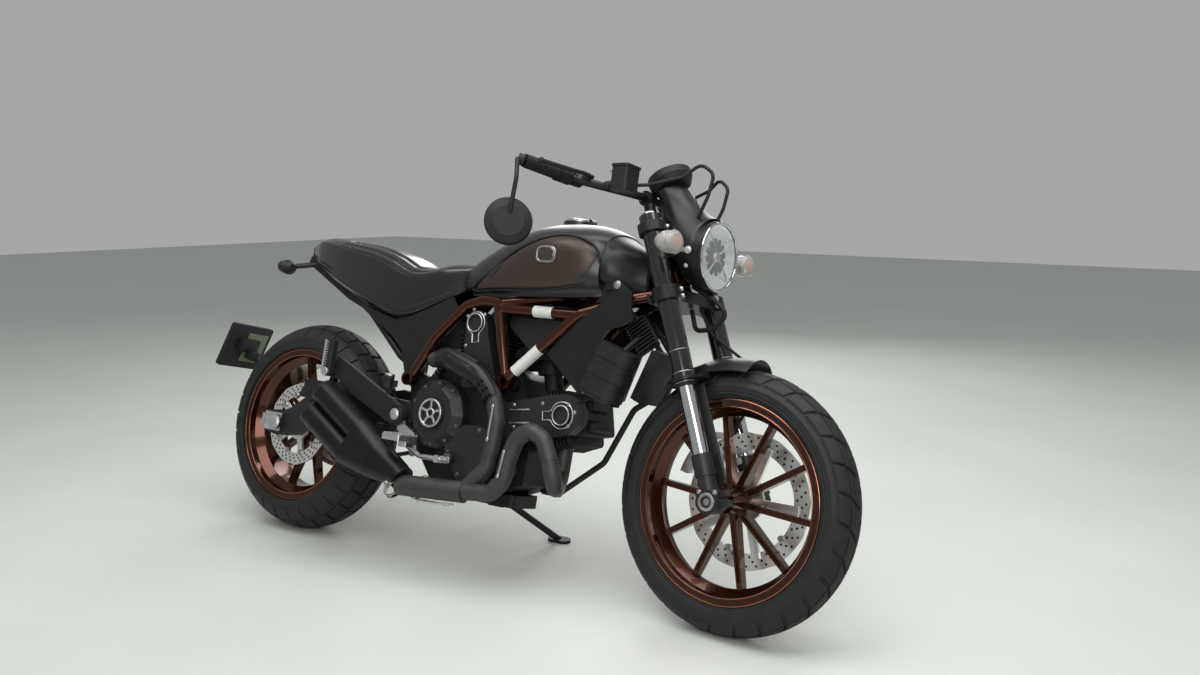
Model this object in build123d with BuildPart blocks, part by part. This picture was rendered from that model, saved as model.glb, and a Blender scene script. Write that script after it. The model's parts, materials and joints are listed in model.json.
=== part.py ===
from build123d import *
import os
from math import asin, atan2, cos, degrees, pi, radians, sin, sqrt, tan

# Scrambler motorcycle: steel trellis frame, air-cooled L-twin, inverted fork, cast ten-spoke wheels.
# It is drawn upright and steered straight ahead, in millimetres:
# +X forward, +Y to the rider's left, +Z up, the origin on the floor below the rear axle.
# park() then turns the bars, leans the whole machine on its side stand and sets it on the floor.

# ---------------------------------------------------------------- driving dimensions
WHEELBASE = 1445.0
RAKE = 22.5
TRAIL = 108.0
LEAN = 14.5
STEER_REST = -4.8

RUNNING_CLEARANCE = 0.05
SEAT_CLEARANCE = 0.3
DISC_GAP = 6.0

FRONT_TYRE_RADIUS = 316.6
FRONT_TYRE_HALF_WIDTH = 54.0
FRONT_CROWN_RADIUS = 58.0
FRONT_BEAD_RADIUS = 228.6
FRONT_RIM_HALF_WIDTH = 45.0
REAR_TYRE_RADIUS = 315.0
REAR_TYRE_HALF_WIDTH = 89.0
REAR_CROWN_RADIUS = 95.0
REAR_BEAD_RADIUS = 215.9
REAR_RIM_HALF_WIDTH = 77.0
TYRE_WALL = 11.0
TYRE_SIDES = 72
CROWN_FLATS = 6
FLANGE_HEIGHT = 14.0
FLANGE_THICKNESS = 6.0
RIM_WALL = 7.0
SPOKES = 10
SPOKE_WIDTH = 15.0
SPOKE_GROOVE = 5.0

AXLE_RADIUS = 12.5
AXLE_BORE_RADIUS = 8.0
HUB_RADIUS = 31.0
FRONT_HUB_HALF = 58.0
REAR_HUB_HALF = 62.0

FRONT_DISC_RADIUS = 165.0
FRONT_DISC_BAND = 40.0
FRONT_DISC_Y = 66.0
REAR_DISC_RADIUS = 122.5
REAR_DISC_BAND = 34.0
REAR_DISC_Y = 68.0
DISC_THICKNESS = 5.0
SPROCKET_TEETH = 46
CHAIN_PITCH = 15.875
CHAIN_Y = 102.0
CHAIN_HEIGHT = 14.0
CHAIN_WIDTH = 14.0
FRONT_SPROCKET = (566.0, 385.0)
FRONT_SPROCKET_TEETH = 15

LEG_HALF_SPACING = 106.0
TUBE_RADIUS = 26.0
STANCHION_RADIUS = 20.5
FOOT_RADIUS = 25.0
FOOT_TOP = 446.0
TUBE_BOTTOM = 618.0
TUBE_TOP = 1056.0
LOWER_YOKE = (828.0, 862.0)
UPPER_YOKE = (1008.0, 1034.0)
STEM_RADIUS = 14.0
HEAD_TUBE_RADIUS = 30.0
HEAD_GAP = 1.0

BAR_RADIUS = 11.0
GRIP_RADIUS = 16.5
MIRROR_RADIUS = 59.0
MIRROR_YAW = 45.0
LENS_RADIUS = 84.0
HEADLIGHT_HEIGHT = 903.0
HEADLIGHT_REACH = 137.0

FRAME_TUBE = 15.0
FRAME_HALF_REAR = 125.0
FRAME_HALF_FRONT = 108.0
SUBFRAME_TUBE = 11.0

CRANK = (727.0, 391.0)
CYLINDER_TILT = 13.8
CYLINDER_SIZE = 142.0
FIN_THICKNESS = 4.0
FIN_PITCH = 11.0
CASE_HALF = 108.0
CHAIN_POCKET = 90.0
CLUTCH = (600.0, 414.0)
CLUTCH_RADIUS = 93.0
PIVOT = (489.0, 396.0)
PIVOT_RADIUS = 12.0
ARM_INNER = 113.0
ARM_OUTER = 152.0

HEADER_RADIUS = 22.0
COLLECTOR_RADIUS = 28.0
SILENCER_TILT = 29.0
BARREL_RADIUS = 38.0
BARREL_SPACING = 74.0
BARREL_START = -4.0
BARREL_LENGTH = 196.0
SILENCER_HEIGHT = 450.0
SILENCER_Y = -205.0

STAND_PIVOT = (684.0, 112.0, 196.0)
STAND_RADIUS = 9.5
STAND_SOLE_THICKNESS = 9.0
STAND_EYE_RADIUS = 14.0
STAND_EYE_HALF = 10.0
STAND_PIN_RADIUS = 6.0
STAND_DEPLOYED = (0.23, 0.88, -0.42)
STAND_STOWED = (-0.99, 0.14, 0.0)

SHOCK_Y = 141.0
HANGER_GAP = 12.0

CAP_CENTRE = (880.0, 979.0)
CAP_RADIUS = 36.0
CAP_HINGE = (CAP_CENTRE[0] + CAP_RADIUS + 7, CAP_CENTRE[1] + SEAT_CLEARANCE + 6)
CAP_BARREL_RADIUS = 4.5
CAP_PIN_RADIUS = 2.0
CAP_BARREL_HALF = 10.0


# ---------------------------------------------------------------- shared shapes
def tube(points, radius, bend=50.0, mode=Mode.ADD):
    """A round bar along the points, its corners bent to one radius, into the part being built."""
    with BuildLine() as route:
        if len(points) > 2:
            FilletPolyline(*points, radius=bend)
        else:
            Line(*points)
    with BuildSketch(Plane(origin=route.line @ 0, z_dir=route.line % 0)) as section:
        Circle(radius)
    sweep(section.sketch, path=route.wire(), mode=mode)


def drum(x, z, radius, y_from, y_to, mode=Mode.ADD):
    """A round boss whose axis runs across the machine."""
    with BuildSketch(Plane.XZ.offset(-y_from)) as face:
        with Locations((x, z)):
            Circle(radius)
    extrude(face.sketch, amount=y_from - y_to, mode=mode)


def plate(outline, y_from, y_to, corner=0.0, mode=Mode.ADD):
    """A slab with a side-view outline, its corners rounded."""
    with BuildSketch(Plane.XZ.offset(-y_from)) as face:
        with BuildLine():
            Polyline(*outline, close=True)
        make_face()
        if corner:
            fillet(face.vertices(), radius=corner)
    extrude(face.sketch, amount=y_from - y_to, mode=mode)


def block(x_range, y_range, z_range, corner=0.0, mode=Mode.ADD):
    """A box between limits, its long edges rounded."""
    with BuildSketch(Plane.XY.offset(z_range[0])) as face:
        with Locations(((x_range[0] + x_range[1]) / 2, (y_range[0] + y_range[1]) / 2)):
            Rectangle(x_range[1] - x_range[0], y_range[1] - y_range[0])
        if corner:
            fillet(face.vertices(), radius=corner)
    extrude(face.sketch, amount=z_range[1] - z_range[0], mode=mode)


def both_sides(points, side):
    """The same route on the left (1) or the right (-1)."""
    return [(x, side * y, z) for x, y, z in points]


def shell_section(x, half_width, top, bottom, shoulder=0.55, waist=0.92):
    """A closed symmetric section across the machine, rounded at the top, for a loft along X."""
    mid = bottom + (top - bottom) * shoulder
    right = [
        (0, top),
        (half_width * 0.55, top - (top - mid) * 0.16),
        (half_width * 0.90, mid + (top - mid) * 0.42),
        (half_width, mid),
        (half_width * waist, bottom + (mid - bottom) * 0.25),
        (half_width * waist * 0.86, bottom),
    ]
    left = [(-y, z) for y, z in reversed(right[1:])]
    plane = Plane(origin=(x, 0, 0), x_dir=(0, 1, 0), z_dir=(1, 0, 0))
    with BuildSketch(plane) as section:
        with BuildLine():
            Spline(*(left + right), tangents=[(0, 1), (0, -1)])
            Line(right[-1], left[0])
        make_face()
    return section.sketch


# ---------------------------------------------------------------- wheels, about their own axle
def crown_corners(radius, half_width, crown):
    """Corners of a crown made of flats, as (distance from the axle, distance across), on its round section."""
    reach = asin(half_width / crown)
    turns = [reach * (2 * step / CROWN_FLATS - 1) for step in range(CROWN_FLATS + 1)]
    return [(radius - crown + crown * cos(turn), crown * sin(turn)) for turn in turns]


def make_tyre(radius, half_width, crown, bead, rim_half):
    """Tyre of flat bands, carried round the wheel in short straight runs."""
    outside = crown_corners(radius, half_width, crown)
    inner_reach = outside[1][0] - TYRE_WALL
    inner_half = outside[-2][1] - 4
    seat = rim_half - FLANGE_THICKNESS - SEAT_CLEARANCE
    foot = bead + SEAT_CLEARANCE
    bulge = bead + FLANGE_HEIGHT + 8
    corner = bead / cos(pi / TYRE_SIDES)
    turns = [2 * pi * (side + 0.5) / TYRE_SIDES for side in range(TYRE_SIDES)]
    with BuildPart() as tyre:
        with BuildLine() as path:
            Polyline((bead, 0, 0), *[(corner * cos(turn), 0, corner * sin(turn)) for turn in turns],
                     (bead, 0, 0))
        with BuildSketch(Plane.XY) as section:
            with BuildLine():
                Polyline(*outside, (bulge, half_width - 3), (foot + FLANGE_HEIGHT, seat), (foot, seat),
                         (foot, seat - TYRE_WALL), (inner_reach, inner_half), (inner_reach, -inner_half),
                         (foot, TYRE_WALL - seat), (foot, -seat), (foot + FLANGE_HEIGHT, -seat),
                         (bulge, 3 - half_width), close=True)
            make_face()
        sweep(sections=section.sketch, path=path.line, transition=Transition.RIGHT)
    return tyre.part


def make_rim(bead, rim_half, hub_half, well, phase):
    """Cast wheel: flanged rim with a well, grooved spokes and a bored hub; phase turns the spokes."""
    edge = bead + FLANGE_HEIGHT
    bed = bead - RIM_WALL
    seat = rim_half - FLANGE_THICKNESS
    with BuildPart() as rim:
        with BuildSketch(Plane.XY):
            with BuildLine():
                Polyline((edge, rim_half), (bed, rim_half), (bed, seat - 14), (well - RIM_WALL, seat - 34),
                         (well - RIM_WALL, 34 - seat), (bed, 14 - seat), (bed, -rim_half), (edge, -rim_half),
                         (edge, -seat), (bead, -seat), (bead, 20 - seat), (well, 36 - seat), (well, seat - 36),
                         (bead, seat - 20), (bead, seat), (edge, seat), close=True)
            make_face()
        revolve(axis=Axis.Y)
        with BuildSketch(Plane.XZ.offset(-hub_half)):
            Circle(HUB_RADIUS)
        extrude(amount=2 * hub_half)
        spoke_root = Plane(origin=(HUB_RADIUS - 6, 0, 0), x_dir=(0, 1, 0), z_dir=(1, 0, 0))
        spoke_tip = spoke_root.offset(well - RIM_WALL - HUB_RADIUS + 8)
        with BuildPart(mode=Mode.PRIVATE) as spoke:
            with BuildSketch(spoke_root):
                Rectangle(34, SPOKE_WIDTH + 1)
            with BuildSketch(spoke_tip):
                Rectangle(22, SPOKE_WIDTH)
            loft()
            groove_end = well - RIM_WALL - 14
            for side in (1, -1):
                start = Plane(origin=(HUB_RADIUS + 12, side * 17, 0), x_dir=(0, 1, 0), z_dir=(1, 0, 0))
                end = Plane(origin=(groove_end, side * 11, 0), x_dir=(0, 1, 0), z_dir=(1, 0, 0))
                with BuildSketch(start):
                    Rectangle(14, SPOKE_GROOVE)
                with BuildSketch(end):
                    Rectangle(10, SPOKE_GROOVE)
                loft(mode=Mode.SUBTRACT)
        for count in range(SPOKES):
            add(spoke.part.rotate(Axis.Y, phase + 360 / SPOKES * count))
        with BuildSketch(Plane.XZ.offset(-hub_half)):
            Circle(AXLE_RADIUS + RUNNING_CLEARANCE)
        extrude(amount=2 * hub_half, mode=Mode.SUBTRACT)
    return rim.part


def make_disc(radius, band, y, inward, arms, hub_half):
    """Brake disc on a spider; y is its middle, inward points at the hub."""
    hub_face = hub_half
    face = abs(y)
    side = 1 if y > 0 else -1
    with BuildPart() as disc:
        with BuildSketch(Plane.XZ.offset(-side * (face - DISC_THICKNESS / 2))):
            Circle(radius)
            Circle(radius - band, mode=Mode.SUBTRACT)
        extrude(amount=-side * DISC_THICKNESS)
        with BuildSketch(Plane.XZ.offset(-side * hub_face)):
            Circle(HUB_RADIUS + 16)
            with PolarLocations((radius - band + HUB_RADIUS) / 2 + 6, arms):
                Rectangle(radius - band - HUB_RADIUS + 16, 20)
            Circle(AXLE_RADIUS + 7, mode=Mode.SUBTRACT)
        extrude(amount=-side * (face - hub_face + DISC_THICKNESS / 2 - 1))
        with BuildSketch(Plane.XZ.offset(-side * (face - DISC_THICKNESS / 2))):
            with PolarLocations(radius - band / 2, 2 * arms, start_angle=180 / arms / 2):
                Circle(4.5)
            with PolarLocations(radius - band / 4, 2 * arms):
                Circle(3.5)
            with PolarLocations(radius - band * 0.78, 2 * arms):
                Circle(3.5)
        extrude(amount=-side * DISC_THICKNESS, mode=Mode.SUBTRACT)
    return disc.part


def chain_radius(teeth):
    """Pitch radius of a chain sprocket."""
    return CHAIN_PITCH / (2 * sin(pi / teeth))


def make_sprocket():
    pitch = chain_radius(SPROCKET_TEETH)
    with BuildPart() as sprocket:
        with BuildSketch(Plane.XZ.offset(-CHAIN_Y + 3)):
            outline = []
            for count in range(SPROCKET_TEETH):
                for step, reach in ((0, -7), (0.3, -6), (0.42, 0), (0.58, 0), (0.7, -6)):
                    turn = 2 * pi * (count + step) / SPROCKET_TEETH
                    outline.append(((pitch + reach) * cos(turn), (pitch + reach) * sin(turn)))
            with BuildLine():
                Polyline(*outline, close=True)
            make_face()
            Circle(AXLE_RADIUS + 8, mode=Mode.SUBTRACT)
            with PolarLocations(72, 5):
                Circle(19, mode=Mode.SUBTRACT)
        extrude(amount=-6)
        with BuildSketch(Plane.XZ.offset(-REAR_HUB_HALF)):
            Circle(58)
            Circle(AXLE_RADIUS + 8, mode=Mode.SUBTRACT)
        extrude(amount=-(CHAIN_Y - 3 - REAR_HUB_HALF))
    return sprocket.part


# ---------------------------------------------------------------- steering, about its own axis
# Here z runs up the steering axis from the floor and x points forward square to it.
AXLE_OFFSET = FRONT_TYRE_RADIUS * sin(radians(RAKE)) - TRAIL * cos(radians(RAKE))
AXLE_RISE = FRONT_TYRE_RADIUS * cos(radians(RAKE)) + TRAIL * sin(radians(RAKE))
STEER_PLANE = Plane(
    origin=(WHEELBASE + TRAIL, 0, 0),
    x_dir=(cos(radians(RAKE)), 0, sin(radians(RAKE))),
    z_dir=(-sin(radians(RAKE)), 0, cos(radians(RAKE))),
)


def on_axis(part):
    """Carry a piece drawn about the steering axis to its place on the upright machine."""
    return part.moved(STEER_PLANE.location)


def legs(radius, z_from, z_to, mode=Mode.ADD):
    """A round bar on each fork leg's line."""
    with BuildSketch(Plane.XY.offset(z_from)) as pair:
        with Locations((AXLE_OFFSET, LEG_HALF_SPACING), (AXLE_OFFSET, -LEG_HALF_SPACING)):
            Circle(radius)
    extrude(pair.sketch, amount=z_to - z_from, mode=mode)


def make_yokes():
    with BuildPart() as yokes:
        for low, high in (LOWER_YOKE, UPPER_YOKE):
            with BuildSketch(Plane.XY.offset(low)):
                with Locations((AXLE_OFFSET, LEG_HALF_SPACING), (AXLE_OFFSET, -LEG_HALF_SPACING)):
                    Circle(TUBE_RADIUS + 9)
                with BuildLine():
                    Polyline((-30, -26), (-30, 26), (-8, 60), (-8, LEG_HALF_SPACING), (44, LEG_HALF_SPACING),
                             (40, 50), (40, -50), (44, -LEG_HALF_SPACING), (-8, -LEG_HALF_SPACING), (-8, -60),
                             close=True)
                make_face()
            extrude(amount=high - low)
        for z in (LOWER_YOKE[0] + 10, LOWER_YOKE[1] - 10):
            for side in (1, -1):
                tube([(-16, side * 84, z), (-16, side * 128, z)], 5.5)
        with BuildSketch(Plane.XY.offset(LOWER_YOKE[1])):
            Circle(STEM_RADIUS)
        extrude(amount=UPPER_YOKE[0] - LOWER_YOKE[1])
        with BuildSketch(Plane.XY.offset(UPPER_YOKE[1])):
            RegularPolygon(19, 6)
        extrude(amount=12)
        legs(TUBE_RADIUS, LOWER_YOKE[0] - 1, UPPER_YOKE[1] + 1, mode=Mode.SUBTRACT)
    return on_axis(yokes.part)


def make_fork_tubes():
    with BuildPart() as tubes:
        legs(TUBE_RADIUS, TUBE_BOTTOM, TUBE_TOP)
        legs(TUBE_RADIUS + 3, TUBE_BOTTOM, TUBE_BOTTOM + 26)
        with BuildSketch(Plane.XY.offset(TUBE_TOP)):
            with Locations((AXLE_OFFSET, LEG_HALF_SPACING), (AXLE_OFFSET, -LEG_HALF_SPACING)):
                RegularPolygon(17, 6)
        extrude(amount=8)
    return on_axis(tubes.part)


def make_stanchions():
    with BuildPart() as stanchions:
        legs(STANCHION_RADIUS, FOOT_TOP, TUBE_BOTTOM)
    return on_axis(stanchions.part)


def make_fork_feet():
    """Axle clamps at the foot of each leg, with the hollow axle between them."""
    reach = LEG_HALF_SPACING + FOOT_RADIUS
    with BuildPart() as feet:
        legs(FOOT_RADIUS, AXLE_RISE + 60, FOOT_TOP)
        legs(FOOT_RADIUS - 3, AXLE_RISE, AXLE_RISE + 60)
        with BuildSketch(Plane.XZ.offset(reach)):
            with Locations((AXLE_OFFSET, AXLE_RISE)):
                Circle(29)
        extrude(amount=-2 * FOOT_RADIUS)
        with BuildSketch(Plane.XZ.offset(-reach)):
            with Locations((AXLE_OFFSET, AXLE_RISE)):
                Circle(29)
        extrude(amount=2 * FOOT_RADIUS)
        with BuildSketch(Plane.XZ.offset(LEG_HALF_SPACING + 12)):
            with Locations((AXLE_OFFSET + 32, AXLE_RISE - 14), (AXLE_OFFSET + 32, AXLE_RISE + 10)):
                Rectangle(30, 16)
        extrude(amount=-24)
        with BuildSketch(Plane.XZ.offset(reach)):
            with Locations((AXLE_OFFSET, AXLE_RISE)):
                Circle(AXLE_RADIUS)
        extrude(amount=-2 * reach)
        with BuildSketch(Plane.XZ.offset(reach - 2 * FOOT_RADIUS)):
            with Locations((AXLE_OFFSET, AXLE_RISE)):
                Circle(AXLE_RADIUS + 5)
        extrude(amount=-(reach - 2 * FOOT_RADIUS - FRONT_HUB_HALF - SEAT_CLEARANCE))
        with BuildSketch(Plane.XZ.offset(-reach + 2 * FOOT_RADIUS)):
            with Locations((AXLE_OFFSET, AXLE_RISE)):
                Circle(AXLE_RADIUS + 5)
        extrude(amount=reach - 2 * FOOT_RADIUS - FRONT_HUB_HALF - SEAT_CLEARANCE)
        with BuildSketch(Plane.XZ.offset(reach)):
            with Locations((AXLE_OFFSET, AXLE_RISE)):
                Circle(AXLE_BORE_RADIUS)
        extrude(amount=-2 * reach, mode=Mode.SUBTRACT)
        block((AXLE_OFFSET + 2, AXLE_OFFSET + 34), (-82, -76), (AXLE_RISE + 34, TUBE_BOTTOM - 6), 2)
    return on_axis(feet.part)


def make_front_caliper():
    """Four-piston caliper behind the left leg, straddling the disc."""
    gap = DISC_THICKNESS / 2 + DISC_GAP
    x_low = AXLE_OFFSET - 98
    z_low = AXLE_RISE + 52
    height = 94
    with BuildPart() as caliper:
        block((x_low, AXLE_OFFSET - 30), (FRONT_DISC_Y - gap - 20, FRONT_DISC_Y + gap + 30),
              (z_low, z_low + height), 8)
        block((x_low - 1, AXLE_OFFSET - 29), (FRONT_DISC_Y - gap, FRONT_DISC_Y + gap),
              (z_low - 1, z_low + height + 1),
              mode=Mode.SUBTRACT)
        turn = atan2(z_low + height / 2 - AXLE_RISE, x_low + 34 - AXLE_OFFSET)
        bridge = FRONT_DISC_RADIUS + DISC_GAP
        with BuildSketch(Plane.XZ.offset(-(FRONT_DISC_Y - gap - 20))):
            with BuildLine():
                start = turn + radians(20)
                end = turn - radians(20)
                reach = bridge + 20
                middle = turn
                CenterArc((AXLE_OFFSET, AXLE_RISE), bridge, degrees(end), degrees(start - end))
                CenterArc((AXLE_OFFSET, AXLE_RISE), reach, degrees(end), degrees(start - end))
                for angle in (start, end):
                    Line((AXLE_OFFSET + bridge * cos(angle), AXLE_RISE + bridge * sin(angle)),
                         (AXLE_OFFSET + reach * cos(angle), AXLE_RISE + reach * sin(angle)))
            make_face()
        extrude(amount=-(2 * gap + 50))
        block((AXLE_OFFSET - 45, AXLE_OFFSET), (FRONT_DISC_Y + gap + 6, FRONT_DISC_Y + gap + 28),
              (z_low + 6, z_low + 24))
        block((AXLE_OFFSET - 45, AXLE_OFFSET), (FRONT_DISC_Y + gap + 6, FRONT_DISC_Y + gap + 28),
              (z_low + 42, z_low + 58))
    return on_axis(caliper.part)


def make_front_fender():
    """Short fender over the front tyre, held by a collar round each fork tube."""
    shell = FRONT_TYRE_RADIUS + 27
    with BuildPart() as fender:
        with BuildSketch(Plane.XY):
            with BuildLine():
                ThreePointArc((shell - 34, -66), (shell, 0), (shell - 34, 66))
                Line((shell - 34, 66), (shell - 37, 63))
                ThreePointArc((shell - 37, 63), (shell - 3.5, 0), (shell - 37, -63))
                Line((shell - 37, -63), (shell - 34, -66))
            make_face()
        revolve(axis=Axis.Y, revolution_arc=42.5)
    shell_part = fender.part.rotate(Axis.Y, -127.5).moved(Location((WHEELBASE, 0, FRONT_TYRE_RADIUS)))
    with BuildPart() as collars:
        for side in (1, -1):
            with BuildSketch(Plane.XY.offset(TUBE_BOTTOM + 6)) as face:
                with Locations((AXLE_OFFSET, side * LEG_HALF_SPACING)):
                    Circle(TUBE_RADIUS + 10)
                with Locations((AXLE_OFFSET - 4, side * (LEG_HALF_SPACING - 16))):
                    Rectangle(96, 32)
            extrude(amount=8)
            with BuildSketch(Plane.XY.offset(TUBE_BOTTOM + 6)):
                with Locations((AXLE_OFFSET - 4, side * (LEG_HALF_SPACING - 39))):
                    Rectangle(96, 14)
            extrude(amount=34)
        legs(TUBE_RADIUS + 3, TUBE_BOTTOM, TUBE_BOTTOM + 26, mode=Mode.SUBTRACT)
    with BuildPart() as whole:
        add(shell_part)
        add(on_axis(collars.part))
        with BuildSketch(Plane.XZ.offset(-60)):
            with Locations((WHEELBASE, FRONT_TYRE_RADIUS)):
                Circle(shell - 3.5)
        extrude(amount=120, mode=Mode.SUBTRACT)
        add(shell_part)
    return whole.part


# ---------------------------------------------------------------- steering pieces, drawn straight ahead
def axis_x(z):
    """Where the steering axis stands at a height."""
    return WHEELBASE + TRAIL - z * tan(radians(RAKE))


def from_axis(x, y, z):
    """A point given about the steering axis, on the upright machine."""
    c = cos(radians(RAKE))
    s = sin(radians(RAKE))
    return (WHEELBASE + TRAIL + x * c - z * s, y, x * s + z * c)


BAR_CENTRE = (-8.0, 1130.0)
BAR_ROUTE = [(-8.0, 92.0, 1130.0), (-108.0, 226.0, 1188.0), (-132.0, 372.0, 1208.0)]
HEADLIGHT = (axis_x(HEADLIGHT_HEIGHT) + HEADLIGHT_REACH, HEADLIGHT_HEIGHT)


def bar_point(share):
    """A point along the straight outer part of the bar, 0 at the inner bend and 1 at the end."""
    low = BAR_ROUTE[1]
    high = BAR_ROUTE[2]
    return tuple(a + (b - a) * share for a, b in zip(low, high))


def make_handlebar():
    with BuildPart() as bar:
        route = [from_axis(x, -y, z) for x, y, z in reversed(BAR_ROUTE)]
        route += [from_axis(x, y, z) for x, y, z in BAR_ROUTE]
        tube(route, BAR_RADIUS, 42)
        for side in (1, -1):
            tube([from_axis(BAR_CENTRE[0], side * 42, UPPER_YOKE[1]),
                  from_axis(BAR_CENTRE[0], side * 42, BAR_CENTRE[1] - 4)], 15)
            tube([from_axis(BAR_CENTRE[0], side * 28, BAR_CENTRE[1]),
                  from_axis(BAR_CENTRE[0], side * 56, BAR_CENTRE[1])], 20)
    return bar.part


def make_grips():
    with BuildPart() as grips:
        for side in (1, -1):
            ends = [from_axis(x, side * y, z) for x, y, z in (bar_point(0.27), bar_point(0.985))]
            tube(ends, GRIP_RADIUS)
            tube(ends, BAR_RADIUS, mode=Mode.SUBTRACT)
            flange = [from_axis(x, side * y, z) for x, y, z in (bar_point(0.27), bar_point(0.30))]
            tube(flange, GRIP_RADIUS + 4)
            tube(flange, BAR_RADIUS, mode=Mode.SUBTRACT)
    return grips.part


def make_hand_controls():
    """Switch housings, clutch and brake levers and the fluid reservoir."""
    with BuildPart() as controls:
        for side in (1, -1):
            def at(share, dx=0.0, dz=0.0):
                x, y, z = bar_point(share)
                return from_axis(x + dx, side * y, z + dz)
            tube([at(0.02), at(0.26)], 20)
            tube([at(-0.22), at(-0.05)], 17)
            tube([at(-0.16), at(-0.16, 40, -6)], 9)
            tube([at(-0.22, 40, -6), at(0.02, 46, -8), at(0.35, 58, -22), at(0.95, 48, -20)], 5.5, 14)
            with Locations(Location(at(0.97, 48, -20))):
                Sphere(8)
        reservoir = from_axis(0, -150, 1150)
        block((reservoir[0] - 25, reservoir[0] + 25), (-180, -122), (reservoir[2] - 26, reservoir[2] + 34), 8)
        block((reservoir[0] - 27, reservoir[0] + 27), (-182, -120), (reservoir[2] + 34, reservoir[2] + 40), 8)
        tube([from_axis(-52, -158, 1158), from_axis(10, -150, 1146)], 12)
    return controls.part


def make_mirrors():
    """Round bar-end mirrors hung below the bar's ends on cranked arms."""
    drop = 152.0
    with BuildPart() as mirrors:
        for side in (1, -1):
            x, y, z = BAR_ROUTE[2]
            end = from_axis(x, side * y, z)
            outer = (end[0] - 8, end[1] + side * 10, end[2] + 2)
            tube([end, outer], 14)
            centre = (outer[0] - 6, outer[1], outer[2] - drop)
            tube([(outer[0], outer[1] + side * 4, outer[2]), (outer[0] + 16, outer[1] + side * 16,
                                                              outer[2] - 50),
                  (centre[0] + 10, centre[1] + side * 10, centre[2] + MIRROR_RADIUS * 0.35)], 5.5, 30)
            yaw = radians(MIRROR_YAW)
            face = Plane(origin=centre, x_dir=(-side * sin(yaw), cos(yaw), 0), z_dir=(cos(yaw),
                side * sin(yaw), 0))
            with BuildSketch(face.offset(-8)):
                Circle(MIRROR_RADIUS)
            with BuildSketch(face.offset(6)):
                Circle(MIRROR_RADIUS - 4)
            with BuildSketch(face.offset(12)):
                Circle(MIRROR_RADIUS - 22)
            loft(ruled=True)
    return mirrors.part


def cowl_sections():
    """Ellipses that carry the headlight's ring back and up to the instrument."""
    x, z = HEADLIGHT
    sections = []
    for dx, dz, slope, half, height in ((-20, 0, 0, 88, 88), (-54, 23, 30, 86, 84), (-90, 65, 52, 74, 66),
                                        (-128, 125, 60, 58, 44),
                                        (-166, 171, 63, 52, 42)):
        turn = radians(slope)
        plane = Plane(origin=(x + dx, 0, z + dz), x_dir=(0, 1, 0), z_dir=(cos(turn), 0, -sin(turn)))
        with BuildSketch(plane) as section:
            Ellipse(half, height)
        sections.append(section.sketch)
    return sections


def make_headlight():
    """Round headlight bucket whose cowl flows up to the instrument, with its brackets to the yokes."""
    x, z = HEADLIGHT
    rim = LENS_RADIUS + 5
    with BuildPart() as lamp:
        with BuildSketch(Plane.XZ):
            with BuildLine():
                Polyline((x + 8, z), (x + 8, z + rim - 9), (x, z + rim), (x - 22, z + rim),
                         (x - 62, z + rim - 16),
                         (x - 88, z + 40), (x - 92, z), close=True)
            make_face()
        revolve(axis=Axis(origin=(0, 0, z), direction=(1, 0, 0)))
        for section in cowl_sections():
            add(section)
        loft()
        plate([(x - 40, z - 130), (x - 52, z - 85), (x - 95, z + 10), (x - 100, z + 48), (x - 110, z + 76),
               (x - 150, z + 98),
               (x - 168, z + 130), (x - 172, z + 168), (x - 320, z + 168), (x - 320, z - 130)], 120, -120,
               mode=Mode.SUBTRACT)
        with BuildSketch(Plane.YZ.offset(x - 6)):
            with Locations((0, z)):
                Circle(LENS_RADIUS)
        extrude(amount=20, mode=Mode.SUBTRACT)
        for side in (1, -1):
            plate([(x - 70, z - 12), (x - 70, z + 14), (x - 88, z + 26), (x - 128, z + 16), (x - 128, z - 6),
                   (x - 90, z - 16)],
                  side * 58, side * (LEG_HALF_SPACING - TUBE_RADIUS))
    return lamp.part


def make_headlight_lens():
    """Domed clear lens in the headlight's ring."""
    x, z = HEADLIGHT
    rise = 18.0
    curve = (LENS_RADIUS ** 2 + rise ** 2) / (2 * rise)
    dome = (x + 6 + rise - curve, z)
    half = atan2(LENS_RADIUS, curve - rise) / 2
    with BuildPart() as lens:
        with BuildSketch(Plane.XZ):
            with BuildLine():
                Line((x - 6, z), (x - 6, z + LENS_RADIUS))
                Line((x - 6, z + LENS_RADIUS), (x + 6, z + LENS_RADIUS))
                ThreePointArc((x + 6, z + LENS_RADIUS), (dome[0] + curve * cos(half), z + curve * sin(half)),
                              (x + 6 + rise, z))
                Line((x + 6 + rise, z), (x - 6, z))
            make_face()
        revolve(axis=Axis(origin=(0, 0, z), direction=(1, 0, 0)))
    return lens.part


def make_instrument():
    """Round instrument pod on top of the cowl, tilted towards the rider."""
    x, z = HEADLIGHT
    face = Plane(origin=(x - 158, -12, z + 188), x_dir=(0, 1, 0), z_dir=(-0.5, 0, 0.866))
    with BuildPart() as pod:
        with BuildSketch(face.offset(-18)):
            Circle(48)
        with BuildSketch(face.offset(2)):
            Circle(58)
        loft()
        with BuildSketch(face.offset(2)):
            Circle(58)
        extrude(amount=16)
        with BuildSketch(face.offset(14)):
            Circle(51)
        extrude(amount=6, mode=Mode.SUBTRACT)
    return pod.part


def make_front_signals():
    """Turn signals on short stalks beside the headlight."""
    with BuildPart() as signals:
        x, z = HEADLIGHT
        for side in (1, -1):
            tube([(x - 48, side * 78, z + 2), (x - 42, side * 156, z + 4)], 7)
            shell = Plane(origin=(x - 34, side * 176, z + 6), x_dir=(0, 1, 0), z_dir=(1, 0, 0))
            with BuildSketch(shell):
                Ellipse(33, 27)
            with BuildSketch(shell.offset(24)):
                Ellipse(28, 23)
            loft()
            with BuildSketch(shell):
                Ellipse(33, 27)
            with BuildSketch(shell.offset(-22)):
                Ellipse(15, 11)
            loft()
    return signals.part


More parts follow.
